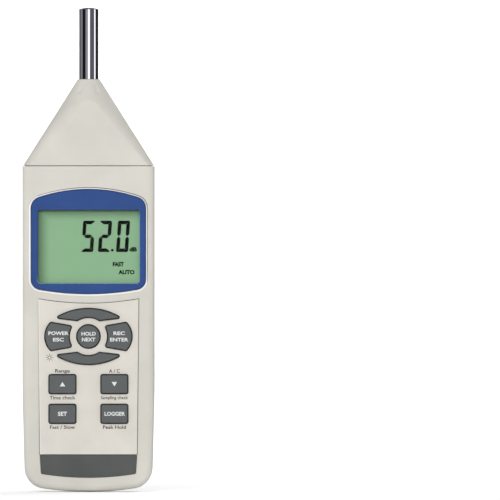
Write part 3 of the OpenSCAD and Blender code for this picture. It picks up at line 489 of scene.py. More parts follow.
NODE_MATERIAL = {
    CASE: ["rear_case", "nose_front", "nose_rear", "battery_cover", "stand", "jack_cover"],
    FRONT_CASE: ["front_case"],
    PANEL: ["keypad_panel"],
    BEZEL: ["display_bezel"],
    WINDOW: ["display_window"],
    TRIM: ["lower_trim"],
    KEY: ["power_key", "hold_key", "record_key", "upper_blank_key", "lower_blank_key", "up_key",
          "down_key", "set_key", "logger_key"],
    WEB: ["keypad_web"],
    BLACK: ["key_contacts", "board_chips", "dc_jack", "serial_jack", "reset_switch",
            "mic_insulator", "mic_cable"],
    GREEN: ["analog_jack"],
    FRAME: ["lcd_frame"],
    CREAM: ["cal_rotor"],
    TRIMMER: ["cal_trimmer"],
    RED: ["reset_button", "battery_leads"],
    CARD: ["sd_card"],
    STEEL: ["battery_cover_screws", "case_screws", "nose_screws", "board_screws", "stand_pin",
            "jack_cover_pin", "sd_socket", "battery_springs", "battery_plates", "mic_capsule",
            "mic_clamp"],
    CHROME: ["mic_tube", "mic_grid"],
    BRASS: ["tripod_insert"],
    BOARD: ["main_board", "preamp_board"],
    LCD: ["lcd_glass"],
    CELLS: ["batteries"],
    ZEBRA: ["zebra_strips"],
    LIGHT: ["lcd_backlight"],
}


# CAD nodes: material, softened edges and smooth shading


def shading_group(angle_deg):
    """Geometry nodes that drop the imported normals and shade smooth below an edge angle."""
    group = bpy.data.node_groups.new(f"smooth_below_{angle_deg}", "GeometryNodeTree")
    group.interface.new_socket("Geometry", in_out="INPUT", socket_type="NodeSocketGeometry")
    group.interface.new_socket("Geometry", in_out="OUTPUT", socket_type="NodeSocketGeometry")
    tree = Tree(group)
    start = tree.add("NodeGroupInput")
    end = tree.add("NodeGroupOutput")
    drop = tree.add("GeometryNodeRemoveAttribute")
    tree.put(drop.inputs["Geometry"], start.outputs[0])
    tree.put(drop.inputs["Name"], "custom_normal")
    faces = tree.add("GeometryNodeSetShadeSmooth", domain="FACE")
    tree.put(faces.inputs["Geometry"], drop.outputs[0])
    angle = tree.add("GeometryNodeInputMeshEdgeAngle")
    flat_enough = tree.add("FunctionNodeCompare", data_type="FLOAT", operation="LESS_THAN")
    tree.put(flat_enough.inputs[0], angle.outputs[0])
    tree.put(flat_enough.inputs[1], math.radians(angle_deg))
    edges = tree.add("GeometryNodeSetShadeSmooth", domain="EDGE")
    tree.put(edges.inputs["Geometry"], faces.outputs[0])
    tree.put(edges.inputs["Shade Smooth"], flat_enough.outputs[0])
    tree.put(end.inputs[0], edges.outputs[0])
    return group


SMOOTH = shading_group(40)
SHARP_FROM = math.radians(32)


def finish_edges(obj, width_mm=0, dissolve=False):
    """Merges the tessellation, rounds the sharp edges and evens the shading."""
    weld = obj.modifiers.new("weld", "WELD")
    weld.merge_threshold = 1e-6
    if dissolve:
        flatten = obj.modifiers.new("flatten", "DECIMATE")
        flatten.decimate_type = "DISSOLVE"
        flatten.angle_limit = math.radians(0.4)
    if width_mm:
        bevel = obj.modifiers.new("round", "BEVEL")
        bevel.width = width_mm * MM
        bevel.segments = 2
        bevel.limit_method = "ANGLE"
        bevel.angle_limit = SHARP_FROM
        bevel.use_clamp_overlap = True
    shade = obj.modifiers.new("shade", "NODES")
    shade.node_group = SMOOTH
    weighted = obj.modifiers.new("weighted", "WEIGHTED_NORMAL")
    weighted.keep_sharp = True


EDGE_WIDTH = {
    "front_case": 0.12, "rear_case": 0.15, "battery_cover": 0.2, "stand": 0.3,
    "jack_cover": 0.15, "display_bezel": 0.3, "keypad_panel": 0.3, "lower_trim": 0.2,
    "display_window": 0.1, "power_key": 0.5, "hold_key": 0.5, "record_key": 0.5,
    "upper_blank_key": 0.4, "lower_blank_key": 0.4, "up_key": 0.5, "down_key": 0.5,
    "set_key": 0.5, "logger_key": 0.5, "sd_card": 0.15, "batteries": 0.4, "mic_tube": 0.12,
    "case_screws": 0.1, "nose_screws": 0.1, "battery_cover_screws": 0.08,
    "tripod_insert": 0.15, "cal_rotor": 0.08, "reset_button": 0.15, "dc_jack": 0.15,
    "serial_jack": 0.15, "analog_jack": 0.15, "board_chips": 0.08, "board_screws": 0.08,
    "mic_clamp": 0.15, "sd_socket": 0.1,
}

# Faces with openings in them, and the crescents' concave ends, stay triangulated
KEEP_TRIANGLES = ("front_case", "upper_blank_key", "lower_blank_key")


def dress_cad_nodes():
    for mat, names in NODE_MATERIAL.items():
        for name in names:
            obj = NODES[name]
            obj.data.materials.clear()
            obj.data.materials.append(mat)
            finish_edges(obj, EDGE_WIDTH.get(name, 0), name not in KEEP_TRIANGLES)


dress_cad_nodes()


# Meshes made here


def linked(name, data):
    """New object in the scene."""
    obj = bpy.data.objects.new(name, data)
    bpy.context.scene.collection.objects.link(obj)
    return obj


def evaluated_mesh(holder):
    """Mesh of an object with its modifiers or its text worked out; the object is deleted."""
    bpy.context.view_layer.update()
    graph = bpy.context.evaluated_depsgraph_get()
    mesh = bpy.data.meshes.new_from_object(holder.evaluated_get(graph), depsgraph=graph)
    bpy.data.objects.remove(holder)
    return mesh


def new_object(name, mesh, body, mat):
    obj = linked(name, mesh)
    mesh.materials.clear()
    mesh.materials.append(mat)
    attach(obj, body)
    return obj


def mesh_from(name, verts, faces, smooth=True):
    mesh = bpy.data.meshes.new(name)
    mesh.from_pydata(verts, [], faces)
    mesh.polygons.foreach_set("use_smooth", [smooth] * len(mesh.polygons))
    mesh.update()
    return mesh


def faced_outward(mesh, merge=False):
    """The mesh with its faces turned outward and, if asked, its doubled points merged."""
    bm = bmesh.new()
    bm.from_mesh(mesh)
    if merge:
        bmesh.ops.remove_doubles(bm, verts=bm.verts, dist=1e-7)
    bmesh.ops.recalc_face_normals(bm, faces=bm.faces)
    bm.to_mesh(mesh)
    bm.free()
    return mesh


def prism(name, outline, y_front, y_back, body, mat):
    """Closed plate with an outline in X and Z, between two depths."""
    count = len(outline)
    verts = [(x, y_front, z) for x, z in outline] + [(x, y_back, z) for x, z in outline]
    faces = [tuple(range(count)), tuple(range(2 * count - 1, count - 1, -1))]
    faces += [(i, i + count, (i + 1) % count + count, (i + 1) % count) for i in range(count)]
    new_object(name, faced_outward(mesh_from(name, verts, faces, False)), body, mat)


# Nose shells: a rounded body cut flat by a plateau, running out into a round tip

CASE_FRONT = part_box("front_case")
CASE_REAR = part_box("rear_case")
SEAM_Z = CASE_FRONT[1].z
SPLIT_Y = (CASE_FRONT[0].y + CASE_REAR[1].y) / 2
BODY_HALF_W = CASE_FRONT[1].x / MM
BODY_HALF_D = (CASE_REAR[1].y - CASE_FRONT[0].y) / 2 / MM
NOSE_H = (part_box("nose_front")[1].z - SEAM_Z) / MM
TIP_R = 5.6
# The plateau's arch: width gained per mm below the shoulder, its round top and its spread, and
# what is left beside it
ARCH_SLOPE, ARCH_ROUND, ARCH_SPREAD, ARCH_MARGIN = 0.74, 3.4, 0.0025, 2.2
SHOULDER_H = 34.0
SHOULDER_R = BODY_HALF_W - (BODY_HALF_W - TIP_R) / NOSE_H * SHOULDER_H
BORE_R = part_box("mic_tube")[1].x / MM + 0.08
BORE_H = 38.0
NOSE_WALL = 2.4
STEP_H = 0.45
STEP_IN = 1.2
FLANK_POINTS = 22
PLATEAU_POINTS = 13
APEX_HALF = 0.6
SEAM_CHAMFER = 0.12
SEAM_STEP = 0.02
# The shoulder's sections go from nearly square at the foot to round at the top
FOOT_POWER = 10
ROUND_POWER = 2


def nose_half_w(h):
    return BODY_HALF_W - (BODY_HALF_W - TIP_R) / NOSE_H * h


def plateau_half_w(h):
    """Half width of the flat plateau: an arch that ends at the shoulder."""
    left = max(0.0, SHOULDER_H - h)
    arch = ARCH_SLOPE * left + ARCH_ROUND * math.tanh(math.sqrt(left)) + ARCH_SPREAD * left ** 2
    return min(nose_half_w(h) - ARCH_MARGIN, arch)


def resampled(curve, count):
    """The curve with a number of points at even spacing."""
    lengths = [0.0]
    for (x0, y0), (x1, y1) in zip(curve, curve[1:]):
        lengths.append(lengths[-1] + math.hypot(x1 - x0, y1 - y0))
    points, k = [], 0
    for i in range(count):
        at = lengths[-1] * i / (count - 1)
        while k < len(curve) - 2 and lengths[k + 1] < at:
            k += 1
        span = max(lengths[k + 1] - lengths[k], 1e-9)
        f = min(1.0, (at - lengths[k]) / span)
        (x0, y0), (x1, y1) = curve[k], curve[k + 1]
        points.append((x0 + (x1 - x0) * f, y0 + (y1 - y0) * f))
    return points


def nose_half_ring(h, inset, bore=False):
    """Points of half a section from its left edge over the plateau to its right edge."""
    half = nose_half_w(h)
    if bore or h > SHOULDER_H - 0.04:
        r = BORE_R if bore else half - inset
        edge = math.asin(min(1.0, APEX_HALF / r))
        flank = [(r * math.cos(t), r * math.sin(t))
                 for t in (i / 60 * (math.pi / 2 - edge) for i in range(61))]
        flat = [(r * math.sin(t), r * math.cos(t))
                for t in (-edge + 2 * edge * i / (PLATEAU_POINTS - 1)
                          for i in range(PLATEAU_POINTS))]
    else:
        depth = BODY_HALF_D - (BODY_HALF_D - SHOULDER_R) / SHOULDER_H * h
        flat_w = max(plateau_half_w(h), APEX_HALF)
        left = (SHOULDER_H - h) / SHOULDER_H
        power = ROUND_POWER + (FOOT_POWER - ROUND_POWER) * left ** 1.3
        bulge = depth / (1 - (flat_w / half) ** power) ** (1 / power)
        half, depth, bulge = half - inset, depth - inset, bulge - inset
        last = math.asin(min(1.0, (depth / bulge) ** (power / 2)))
        flank = [(half * math.cos(t) ** (2 / power), bulge * math.sin(t) ** (2 / power))
                 for t in (i / 160 * last for i in range(161))]
        flat_w = flank[-1][0]
        near = max(0.6, 1 - 0.12 / flat_w)
        inner = [near * (2 * i / (PLATEAU_POINTS - 3) - 1) for i in range(PLATEAU_POINTS - 2)]
        flat = [(v * flat_w, depth) for v in [-1.0] + inner + [1.0]]
    right = resampled(flank, FLANK_POINTS)
    return [(-x, y) for x, y in right[:-1]] + flat + right[-2::-1]


def dimple(x, y, h):
    """Depth of the two teardrop hollows near the tip."""
    low, high, side_angle = 37.0, 43.4, math.radians(29)
    deepest, widest = 0.7, 1.15
    if not low < h < high:
        return 0.0
    rise = (h - low) / (high - low)
    width = widest * (1 - rise) ** 0.7 * min(1.0, rise * 6) + 0.05
    r = math.hypot(x, y)
    away = abs(abs(math.atan2(x, y)) - side_angle) * r
    return deepest * math.exp(-(away / width) ** 4) * min(1.0, rise * 5) * (1 - rise) ** 0.5


def nose_rings():
    """Heights with the outer inset of each ring, from the foot to the tip."""
    rings = [(0.0, STEP_IN), (STEP_H, STEP_IN), (STEP_H, 0.12), (STEP_H + 0.04, 0.03),
             (STEP_H + 0.14, 0.0)]
    rings += [(1.2 + 1.2 * i, 0.0) for i in range(25)]
    rings += [(h, 0.0) for h in (31.0, 31.8, 32.4, 32.9, 33.3, 33.6, 33.8, 33.93, 34.05, 34.3)]
    rings += [(34.6 + 0.3 * i, 0.0) for i in range(34)]
    rings += [(NOSE_H - 0.12, 0.0), (NOSE_H - 0.03, 0.04), (NOSE_H, 0.14)]
    return rings


def nose_shell_mesh(name, side):
    """Closed half shell; side is -1 in front of the split and 1 behind it."""
    seam, step = SEAM_CHAMFER, SEAM_STEP
    verts, faces = [], []
    rings = nose_rings()
    for h, inset in rings:
        outer = nose_half_ring(h, inset)
        inner = nose_half_ring(h, NOSE_WALL, h >= BORE_H)
        if side < 0:
            pressed = []
            for x, y in outer:
                k = 1 - dimple(x, y, h) / max(math.hypot(x, y), 1e-6)
                pressed.append((x * k, y * k))
            outer = pressed
        (x0, _), (x1, _) = outer[0], outer[-1]
        outer = [(x0 + seam, step), (x0, seam)] + outer[1:-1] + [(x1, seam), (x1 - seam, step)]
        inner = [(inner[0][0], step)] + inner + [(inner[-1][0], step)]
        for x, y in outer + inner[::-1]:
            verts.append((x * MM, SPLIT_Y + side * y * MM, SEAM_Z + h * MM))
    loop = len(verts) // len(rings)
    for j in range(len(rings) - 1):
        for i in range(loop):
            a, b = j * loop + i, j * loop + (i + 1) % loop
            faces.append((a, b, b + loop, a + loop))
    for base in (0, (len(rings) - 1) * loop):
        for i in range(loop // 2 - 1):
            faces.append((base + i, base + i + 1, base + loop - 2 - i, base + loop - 1 - i))
    return faced_outward(mesh_from(name, verts, faces), merge=True)


def rod_object(name, x, z, r, y0, y1):
    """Helper rod along Y, used only to cut or join."""
    bm = bmesh.new()
    spin = Matrix.Translation((x, (y0 + y1) / 2, z)) @ Matrix.Rotation(math.pi / 2, 4, "X")
    bmesh.ops.create_cone(bm, cap_ends=True, segments=48, radius1=r, radius2=r,
                          depth=y1 - y0, matrix=spin)
    mesh = bpy.data.meshes.new(name)
    bm.to_mesh(mesh)
    bm.free()
    return linked(name, mesh)


def combined(mesh, steps):
    """The mesh after a list of (operation, helper object); the helpers are deleted."""
    holder = linked("holder", mesh)
    for operation, helper in steps:
        cut = holder.modifiers.new(operation, "BOOLEAN")
        cut.operation = operation
        cut.solver = "EXACT"
        cut.object = helper
    result = evaluated_mesh(holder)
    for _, helper in steps:
        bpy.data.objects.remove(helper)
    return result


SCREW_HEAD_R = 2.5 * MM
SCREW_HEAD_H = 2 * MM
BOSS_R = 3.8 * MM
WELL_R = 2.8 * MM
SCREW_HOLE_R = 1.45 * MM
# How far the nose's rear face comes forward per length up
REAR_SLOPE = 0.262


def screw_place_steps():
    """Joins and cuts for a boss, a head well and a hole at each nose screw."""
    low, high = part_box("nose_screws")
    x, z, head_y = high.x - SCREW_HEAD_R, (low.z + high.z) / 2, high.y - SCREW_HEAD_H
    rear_plane = SPLIT_Y + BODY_HALF_D * MM - REAR_SLOPE * (z - SEAM_Z)
    boss_y = (SPLIT_Y + 0.1 * MM, rear_plane - 1.2 * MM)
    well_y = (head_y, rear_plane + 5 * MM)
    hole_y = (SPLIT_Y - 1 * MM, head_y + 1 * MM)
    steps = [("UNION", rod_object("boss", side * x, z, BOSS_R, *boss_y)) for side in (-1, 1)]
    for side in (-1, 1):
        steps.append(("DIFFERENCE", rod_object("well", side * x, z, WELL_R, *well_y)))
        steps.append(("DIFFERENCE", rod_object("hole", side * x, z, SCREW_HOLE_R, *hole_y)))
    return steps


def nose_shell(name, side, steps, node):
    mesh = combined(nose_shell_mesh(name, side), steps) if steps else nose_shell_mesh(name, side)
    shell = new_object(name, mesh, BODY_OF[node], CASE)
    finish_edges(shell)
    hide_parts(node)


def nose_shells():
    nose_shell("nose_front_shell", -1, [], "nose_front")
    nose_shell("nose_rear_shell", 1, screw_place_steps(), "nose_rear")


nose_shells()


# Bezel surround

# Near-white ring; its faces that lean to the upper right get painted shade
SURROUND = plastic("surround_plastic", srgb(252, 252, 252), rough=0.35, wear=0.0, specular=0.4,
                   stain_and_painted_light=painted_facing_shade(UPPER_RIGHT, srgb(96, 90, 82), 0.95))


def bezel_outline():
    """Outer outline of the bezel in X and Z, as the convex hull of its vertices."""
    points = sorted({(round(v.co.x, 6), round(v.co.z, 6))
                     for v in NODES["display_bezel"].data.vertices})

    def chain(sequence):
        kept = []
        for p in sequence:
            while len(kept) > 1 and ((kept[-1][0] - kept[-2][0]) * (p[1] - kept[-2][1])
                                     - (kept[-1][1] - kept[-2][1]) * (p[0] - kept[-2][0])) <= 0:
                kept.pop()
            kept.append(p)
        return kept[:-1]
    hull = chain(points) + chain(points[::-1])
    return resampled(hull + hull[:1], 361)[:-1]


def surround_ring():
    """Rounded rim in the sloped recess around the bezel, wider below and to the left."""
    outline = bezel_outline()
    face_y = CASE_FRONT[0].y
    count = len(outline)
    # Distance from the bezel, depth below the case's face and added width below, in mm
    section = [(0.13, 0.6, 0), (0.15, 0.16, 0), (0.22, 0.03, 0), (0.34, -0.05, 0),
               (0.52, -0.06, 0.5), (0.62, -0.02, 0.45), (0.94, 0.3, 0.2), (1.1, 0.48, 0.1),
               (1.12, 0.7, 0.1)]
    verts, faces = [], []
    for i, (x, z) in enumerate(outline):
        (x0, z0), (x1, z1) = outline[i - 1], outline[(i + 1) % count]
        out = Vector((z1 - z0, x0 - x1)).normalized()
        lean = min(1.0, max(0.0, -2 * (out.x * UPPER_RIGHT[0] + out.y * UPPER_RIGHT[2])))
        for away, depth, added in section:
            reach = (away + added * lean) * MM
            verts.append((x + out.x * reach, face_y + depth * MM, z + out.y * reach))
    size = len(section)
    for i in range(count):
        a, b = i * size, (i + 1) % count * size
        for k in range(size):
            faces.append((a + k, b + k, b + (k + 1) % size, a + (k + 1) % size))
    mesh = faced_outward(mesh_from("bezel_surround", verts, faces))
    obj = new_object("bezel_surround", mesh, BODY_OF["front_case"], SURROUND)
    finish_edges(obj)


surround_ring()


# Contact springs


def add_coil(verts, faces, start, along, radius0, radius1, length, turns, wire_r):
    """Adds round wire wound around the X direction to a mesh under construction."""
    steps_per_turn, ring = 28, 10
    count = int(steps_per_turn * turns) + 1
    first = len(verts)
    for i in range(count):
        f = i / (count - 1)
        a = 2 * math.pi * turns * f
        r = radius0 + (radius1 - radius0) * f
        out = Vector((0, math.cos(a), math.sin(a)))
        middle = start + Vector((along * length * f, 0, 0)) + out * r
        for k in range(ring):
            b = 2 * math.pi * k / ring
            verts.append(middle + (out * math.cos(b) + Vector((math.sin(b), 0, 0))) * wire_r)
    for i in range(count - 1):
        for k in range(ring):
            a, b = first + i * ring + k, first + i * ring + (k + 1) % ring
            faces.append((a, b, b + ring, a + ring))
    faces.append(tuple(range(first, first + ring)))
    faces.append(tuple(range(first + (count - 1) * ring, first + count * ring)))


def cell_springs():
    """One conical spring per cell, on the side where the CAD node has it."""
    low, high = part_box("battery_springs")
    cells, turns, outer_r, wire_r = 6, 4, (high.y - low.y) / 2, 0.42 * MM
    wide_r, narrow_r = outer_r - wire_r, outer_r - wire_r - 0.9 * MM
    length = 3.2 * MM - 2 * wire_r
    points = [v.co for v in NODES["battery_springs"].data.vertices]
    pitch = (high.z - low.z - 2 * outer_r) / (cells - 1)
    verts, faces = [], []
    for i in range(cells):
        z = low.z + outer_r + i * pitch
        side = 1 if sum(p.x for p in points if abs(p.z - z) < outer_r / 2) > 0 else -1
        wall_x = high.x if side > 0 else low.x
        start = Vector((wall_x - side * wire_r, (low.y + high.y) / 2, z))
        add_coil(verts, faces, start, -side, wide_r, narrow_r, length, turns, wire_r)
    mesh = faced_outward(mesh_from("cell_springs", verts, faces))
    obj = new_object("cell_springs", mesh, BODY_OF["battery_springs"], STEEL)
    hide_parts("battery_springs")


cell_springs()


# Display content

WINDOW_MID = box_mid("display_window")
LCD_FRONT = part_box("lcd_glass")[0].y
SEGMENT_T = 1.85 * MM
DIGIT_W = 4.4 * MM
DIGIT_H = 14.3 * MM
DIGIT_SLANT = math.tan(math.radians(3.9))
SEGMENT_GAP = 0.12 * MM
INK_T = 0.03 * MM
SEGMENTS_ON = {"5": "afgcd", "2": "abged", "0": "abcdef"}


def segment_outline(key):
    """One bar of a seven-segment digit around its middle, before the slant."""
    t, w, h, gap = SEGMENT_T / 2, DIGIT_W / 2, DIGIT_H / 2, SEGMENT_GAP
    if key in "adg":
        z = {"a": h, "g": 0, "d": -h}[key]
        inner, outer = w - t - gap, w + t - gap
        if key == "g":
            tip = w - gap
            return [(-tip, 0), (-inner, t), (inner, t), (tip, 0), (inner, -t), (-inner, -t)]
        side = 1 if key == "a" else -1
        return [(-outer + 0.5 * t, z + side * t), (outer - 0.5 * t, z + side * t),
                (outer, z + side * 0.55 * t), (inner, z - side * t), (-inner, z - side * t),
                (-outer, z + side * 0.55 * t)]
    side = 1 if key in "bc" else -1
    up = 1 if key in "bf" else -1
    x = side * w
    near, far = gap, h + 0.3 * t
    return [(x, up * near), (x + side * t, up * (near + t)), (x + side * t, up * far),
            (x + side * 0.6 * t, up * (far + 0.2 * t)), (x - side * t, up * (h - t - gap)),
            (x - side * t, up * (near + t))]


def lcd_shape(name, outline):
    prism(name, outline, LCD_FRONT - INK_T, LCD_FRONT - INK_T / 3, "case", SEGMENT)


def lcd_digit(figure, x_mid, z_mid):
    for key in SEGMENTS_ON[figure]:
        outline = [(x_mid + x + z * DIGIT_SLANT, z_mid + z) for x, z in segment_outline(key)]
        lcd_shape(f"lcd_{figure}_{key}", outline)


def text_mesh(name, words, bold):
    """Thin mesh of some words in the built-in font, lying in X and Y."""
    curve = bpy.data.curves.new(name, "FONT")
    curve.body = words
    curve.size = 1.0
    curve.offset = bold
    curve.extrude = 0.02
    curve.resolution_u = 3
    mesh = evaluated_mesh(linked(name, curve))
    bpy.data.curves.remove(curve)
    return mesh


def print_words(name, words, mid_x, mid_z, width, height, face_y, body, mat, bold=0.012):
    """Thin raised ink that fills a width and height on a face that looks towards -Y."""
    mesh = text_mesh(name, words, bold)
    xs = [v.co.x for v in mesh.vertices]
    ys = [v.co.y for v in mesh.vertices]
    size_x, size_y = max(xs) - min(xs), max(ys) - min(ys)
    for v in mesh.vertices:
        x = (v.co.x - min(xs)) / size_x - 0.5
        z = (v.co.y - min(ys)) / size_y - 0.5
        depth = face_y - INK_T if v.co.z > 0 else face_y + INK_T
        v.co = (mid_x + x * width, depth, mid_z + z * height)
    mesh.update()
    new_object(name, mesh, body, mat)


def display_content():
    digit_z = WINDOW_MID.z + 5.2 * MM
    for figure, x in (("5", -0.16), ("2", 8.54), ("0", 17.85)):
        lcd_digit(figure, x * MM, digit_z)
    dot = 0.62 * MM
    x, z = 12.3 * MM, digit_z - DIGIT_H / 2
    lcd_shape("lcd_point", [(x - dot, z - dot), (x + dot, z - dot), (x + dot, z + dot),
                            (x - dot, z + dot)])
    for name, words, x, dz, w, h in (("lcd_unit", "dB", 23.0, -1.5, 3.9, 2.3),
                                     ("lcd_fast", "FAST", 15.4, -9.2, 5.8, 2.4),
                                     ("lcd_auto", "AUTO", 19.6, -13.3, 8.4, 2.3)):
        print_words(name, words, x * MM, WINDOW_MID.z + dz * MM, w * MM, h * MM, LCD_FRONT,
                    "case", SEGMENT, 0.055)


display_content()


# Legends

PANEL_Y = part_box("keypad_panel")[0].y


def key_legend(node, lines):
    """Rows of white words on a key: (words, offset from the key's middle, width, height)."""
    mid = box_mid(node)
    top_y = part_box(node)[0].y
    for i, (words, dx, dz, w, h) in enumerate(lines):
        print_words(f"{node}_legend_{i + 1}", words, mid.x + dx * MM, mid.z + dz * MM, w * MM,
                    h * MM, top_y, node, INK_WHITE, 0.03)


def panel_legend(name, words, node, dz, w, h):
    mid = box_mid(node)
    print_words(name, words, mid.x, mid.z + dz * MM, w * MM, h * MM, PANEL_Y, "case", INK_BLACK)


def triangle_legend(node, up):
    mid = box_mid(node)
    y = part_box(node)[0].y
    half, rise = 1.4 * MM, 1.15 * MM * (1 if up else -1)
    outline = [(mid.x - half, mid.z - rise), (mid.x + half, mid.z - rise), (mid.x, mid.z + rise)]
    prism(f"{node}_legend", outline, y - INK_T, y + INK_T, node, INK_WHITE)


def sun_symbol():
    """Backlight mark on the panel: a ring with eight rays."""
    mid_x, mid_z = -20.1 * MM, box_mid("hold_key").z - 10.9 * MM
    outer, inner, steps = 0.95 * MM, 0.68 * MM, 32
    verts, faces = [], []
    for i in range(steps):
        a = 2 * math.pi * i / steps
        for r in (outer, inner):
            for y in (PANEL_Y - INK_T, PANEL_Y + INK_T):
                verts.append((mid_x + r * math.cos(a), y, mid_z + r * math.sin(a)))
    for i in range(steps):
        a, b = 4 * i, 4 * ((i + 1) % steps)
        faces += [(a, a + 2, b + 2, b), (a + 1, b + 1, b + 3, a + 3), (a, b, b + 1, a + 1),
                  (a + 2, a + 3, b + 3, b + 2)]
    new_object("backlight_ring", mesh_from("backlight_ring", verts, faces, False), "case",
               INK_BLACK)
    for i in range(8):
        a = math.pi * i / 4
        along = Vector((math.cos(a), math.sin(a)))
        side = Vector((-along.y, along.x)) * 0.11 * MM
        near, far = along * 1.25 * MM, along * 2.0 * MM
        outline = [(mid_x + p.x, mid_z + p.y)
                   for p in (near - side, far - side, far + side, near + side)]
        prism(f"backlight_ray_{i + 1}", outline, PANEL_Y - INK_T, PANEL_Y + INK_T, "case",
              INK_BLACK)


def legends():
    key_legend("power_key", [("POWER", 0.2, 1.65, 10.4, 1.9), ("ESC", 0.2, -1.65, 5.6, 1.9)])
    key_legend("hold_key", [("HOLD", 0.1, 1.4, 7.4, 1.95), ("NEXT", 0.1, -1.6, 6.9, 1.95)])
    key_legend("record_key", [("REC", 0.2, 1.65, 5.9, 1.9), ("ENTER", 0.2, -1.65, 9.4, 1.9)])
    key_legend("set_key", [("SET", 0, 0, 4.7, 2.2)])
    key_legend("logger_key", [("LOGGER", 0.2, 0, 10.6, 2.1)])
    triangle_legend("up_key", True)
    triangle_legend("down_key", False)
    panel_legend("label_range", "Range", "up_key", 6.6, 7.6, 2.3)
    panel_legend("label_weighting", "A / C", "down_key", 6.8, 5.6, 1.9)
    panel_legend("label_time", "Time check", "up_key", -7.0, 13.2, 1.8)
    panel_legend("label_sampling", "Sampling check", "down_key", -7.2, 14.0, 2.2)
    panel_legend("label_speed", "Fast / Slow", "set_key", -6.9, 12.9, 1.8)
    panel_legend("label_peak", "Peak Hold", "logger_key", -6.9, 11.8, 1.8)
    sun_symbol()


legends()


# Studio: floor, lights, camera

# Square picture 258.4 mm wide at the meter, taken from far away through a long lens
FRAME_WIDTH = 258.4 * MM
CAMERA_X = 83.35 * MM
CAMERA_Z = 124.8 * MM
CAMERA_DISTANCE = 12.0


def one_sided_paper():
    """White paper seen only from its front, so the studio can be viewed from behind it."""
    def build(tree, shader):
        tone = tree.remap(tree.noise(tree.object_coords(), 300, 3), 0.3, 0.7, 0, 0.5)
        seen = tree.add("ShaderNodeLightPath").outputs["Is Camera Ray"]
        tree.feed(shader, {
            "Base Color": tree.mix(tone, (0.93, 0.93, 0.93, 1), (0.91, 0.91, 0.91, 1)),
            "Roughness": 0.8,
            "Specular IOR Level": 0.1,
            "Emission Color": (1, 1, 1, 1),
            "Emission Strength": tree.math("MULTIPLY", seen, 0.32),
        })
        clear = tree.add("ShaderNodeBsdfTransparent")
        behind = tree.add("ShaderNodeNewGeometry").outputs["Backfacing"]
        mixed = tree.add("ShaderNodeMixShader", in_0=behind, in_1=shader.outputs[0],
                         in_2=clear.outputs[0])
        out = tree.tree.nodes["Material Output"]
        tree.put(out.inputs["Surface"], mixed.outputs[0])
    return material("floor_paper", (0.92, 0.92, 0.92, 1), build)


def studio_floor():
    """Pale floor that curves up into a backdrop."""
    half, front, back, radius, height = 3.0, -6.0, 1.2, 0.8, 3.0
    profile = [(front, 0.0), (back, 0.0)]
    steps = 16
    for i in range(1, steps + 1):
        a = math.pi / 2 * i / steps
        profile.append((back + radius * math.sin(a), radius * (1 - math.cos(a))))
    profile.append((back + radius, height))
    verts = [(x, y, z) for y, z in profile for x in (-half, half)]
    faces = [(2 * i, 2 * i + 1, 2 * i + 3, 2 * i + 2) for i in range(len(profile) - 1)]
    floor = linked("floor", mesh_from("floor", verts, faces))
    floor.data.materials.append(one_sided_paper())
    floor.visible_glossy = False


def area_light(name, place, aim, size, power, colour=(1, 1, 1)):
    light = bpy.data.lights.new(name, "AREA")
    light.shape = "RECTANGLE"
    light.size, light.size_y = size
    light.energy = power
    light.color = colour
    obj = linked(name, light)
    obj.location = place
    obj.rotation_euler = (Vector(aim) - Vector(place)).to_track_quat("-Z", "Y").to_euler()
    obj.visible_glossy = False
    obj.visible_camera = False


# What polished metal mirrors around the studio. Directions are in degrees from straight ahead,
# positive to the right: middle, half width, soft edge and, for the soft boxes, brightness
ROOM_TONE = 0.11
SOFT_BOXES = [(4, 7, 7, 1.1), (-12, 8, 24, 0.25), (81, 7, 6, 1.2), (-98, 6, 16, 0.12)]
DARK_FLAGS = [(-60, 10, 12), (130, 20, 16)]
SURROUND_TINT = (0.98, 0.97, 1.05, 1)
AMBIENT = 0.34


def soft_band(tree, across, middle, half, soft):
    """1 within a band of directions, falling to 0 over its soft edges."""
    away = tree.math("ABSOLUTE", tree.math("SUBTRACT", across, math.radians(middle)))
    return tree.remap(away, math.radians(half), math.radians(half + soft), 1, 0)


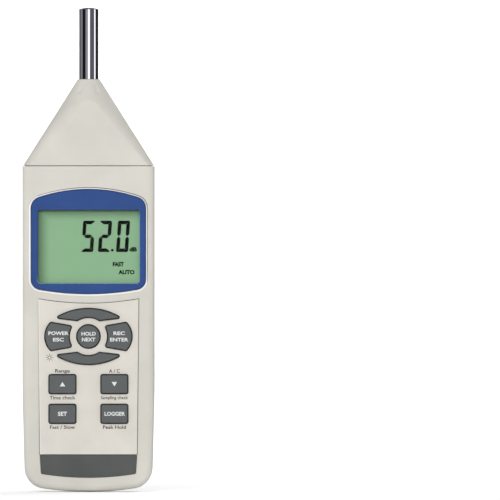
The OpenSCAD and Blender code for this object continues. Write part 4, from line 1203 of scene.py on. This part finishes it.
def mirrored_surround(tree):
    """Dim room with upright soft boxes and black flags around the meter."""
    x, y, _ = tree.axes(tree.add("ShaderNodeTexCoord").outputs["Generated"])
    across = tree.math("ARCTAN2", x, tree.math("MULTIPLY", y, -1))
    level = ROOM_TONE
    for middle, half, soft, brightness in SOFT_BOXES:
        glow = tree.math("MULTIPLY", soft_band(tree, across, middle, half, soft), brightness)
        level = tree.math("ADD", glow, level)
    for middle, half, soft in DARK_FLAGS:
        unshaded = tree.math("SUBTRACT", 1.0, soft_band(tree, across, middle, half, soft))
        level = tree.math("MULTIPLY", level, unshaded)
    return tree.mix(1.0, level, SURROUND_TINT, "MULTIPLY")


def studio_world():
    """Even white light, with a surround of soft boxes that only polished metal mirrors."""
    world = bpy.data.worlds.new("studio")
    bpy.context.scene.world = world
    world.use_nodes = True
    tree = Tree(world.node_tree)
    rays = tree.add("ShaderNodeLightPath")
    even = (AMBIENT, AMBIENT, AMBIENT, 1)
    colour = tree.mix(rays.outputs["Is Glossy Ray"], even, mirrored_surround(tree))
    colour = tree.mix(rays.outputs["Is Camera Ray"], colour, (1, 1, 1, 1))
    background = tree.add("ShaderNodeBackground")
    tree.put(background.inputs["Color"], colour)
    out = tree.add("ShaderNodeOutputWorld")
    tree.put(out.inputs["Surface"], background.outputs[0])


def studio_camera():
    """Long lens straight onto the front, with the meter left of the middle of the frame."""
    data = bpy.data.cameras.new("camera")
    data.sensor_width = 36
    data.lens = data.sensor_width * CAMERA_DISTANCE / FRAME_WIDTH
    data.clip_start = 0.05
    data.clip_end = 100
    camera = linked("camera", data)
    camera.location = (CAMERA_X, -CAMERA_DISTANCE, CAMERA_Z)
    camera.rotation_euler = (math.radians(90), 0, 0)
    bpy.context.scene.camera = camera


def studio():
    studio_floor()
    studio_world()
    studio_camera()
    aim = (0, 0, 0.12)
    area_light("key_light", (-0.3, -3.3, 1.4), aim, (1.1, 1.1), 61, (1.0, 0.995, 0.985))
    area_light("left_light", (-2.0, -0.3, 0.9), aim, (1.0, 1.6), 6.5)
    area_light("right_light", (2.0, -0.2, 0.8), aim, (1.0, 1.6), 2.5, (0.97, 0.98, 1.0))
    area_light("rear_light", (0.8, 1.7, 1.3), aim, (1.0, 1.0), 16)
    view = bpy.context.scene.view_settings
    view.view_transform = "Standard"
    view.look = "None"


studio()
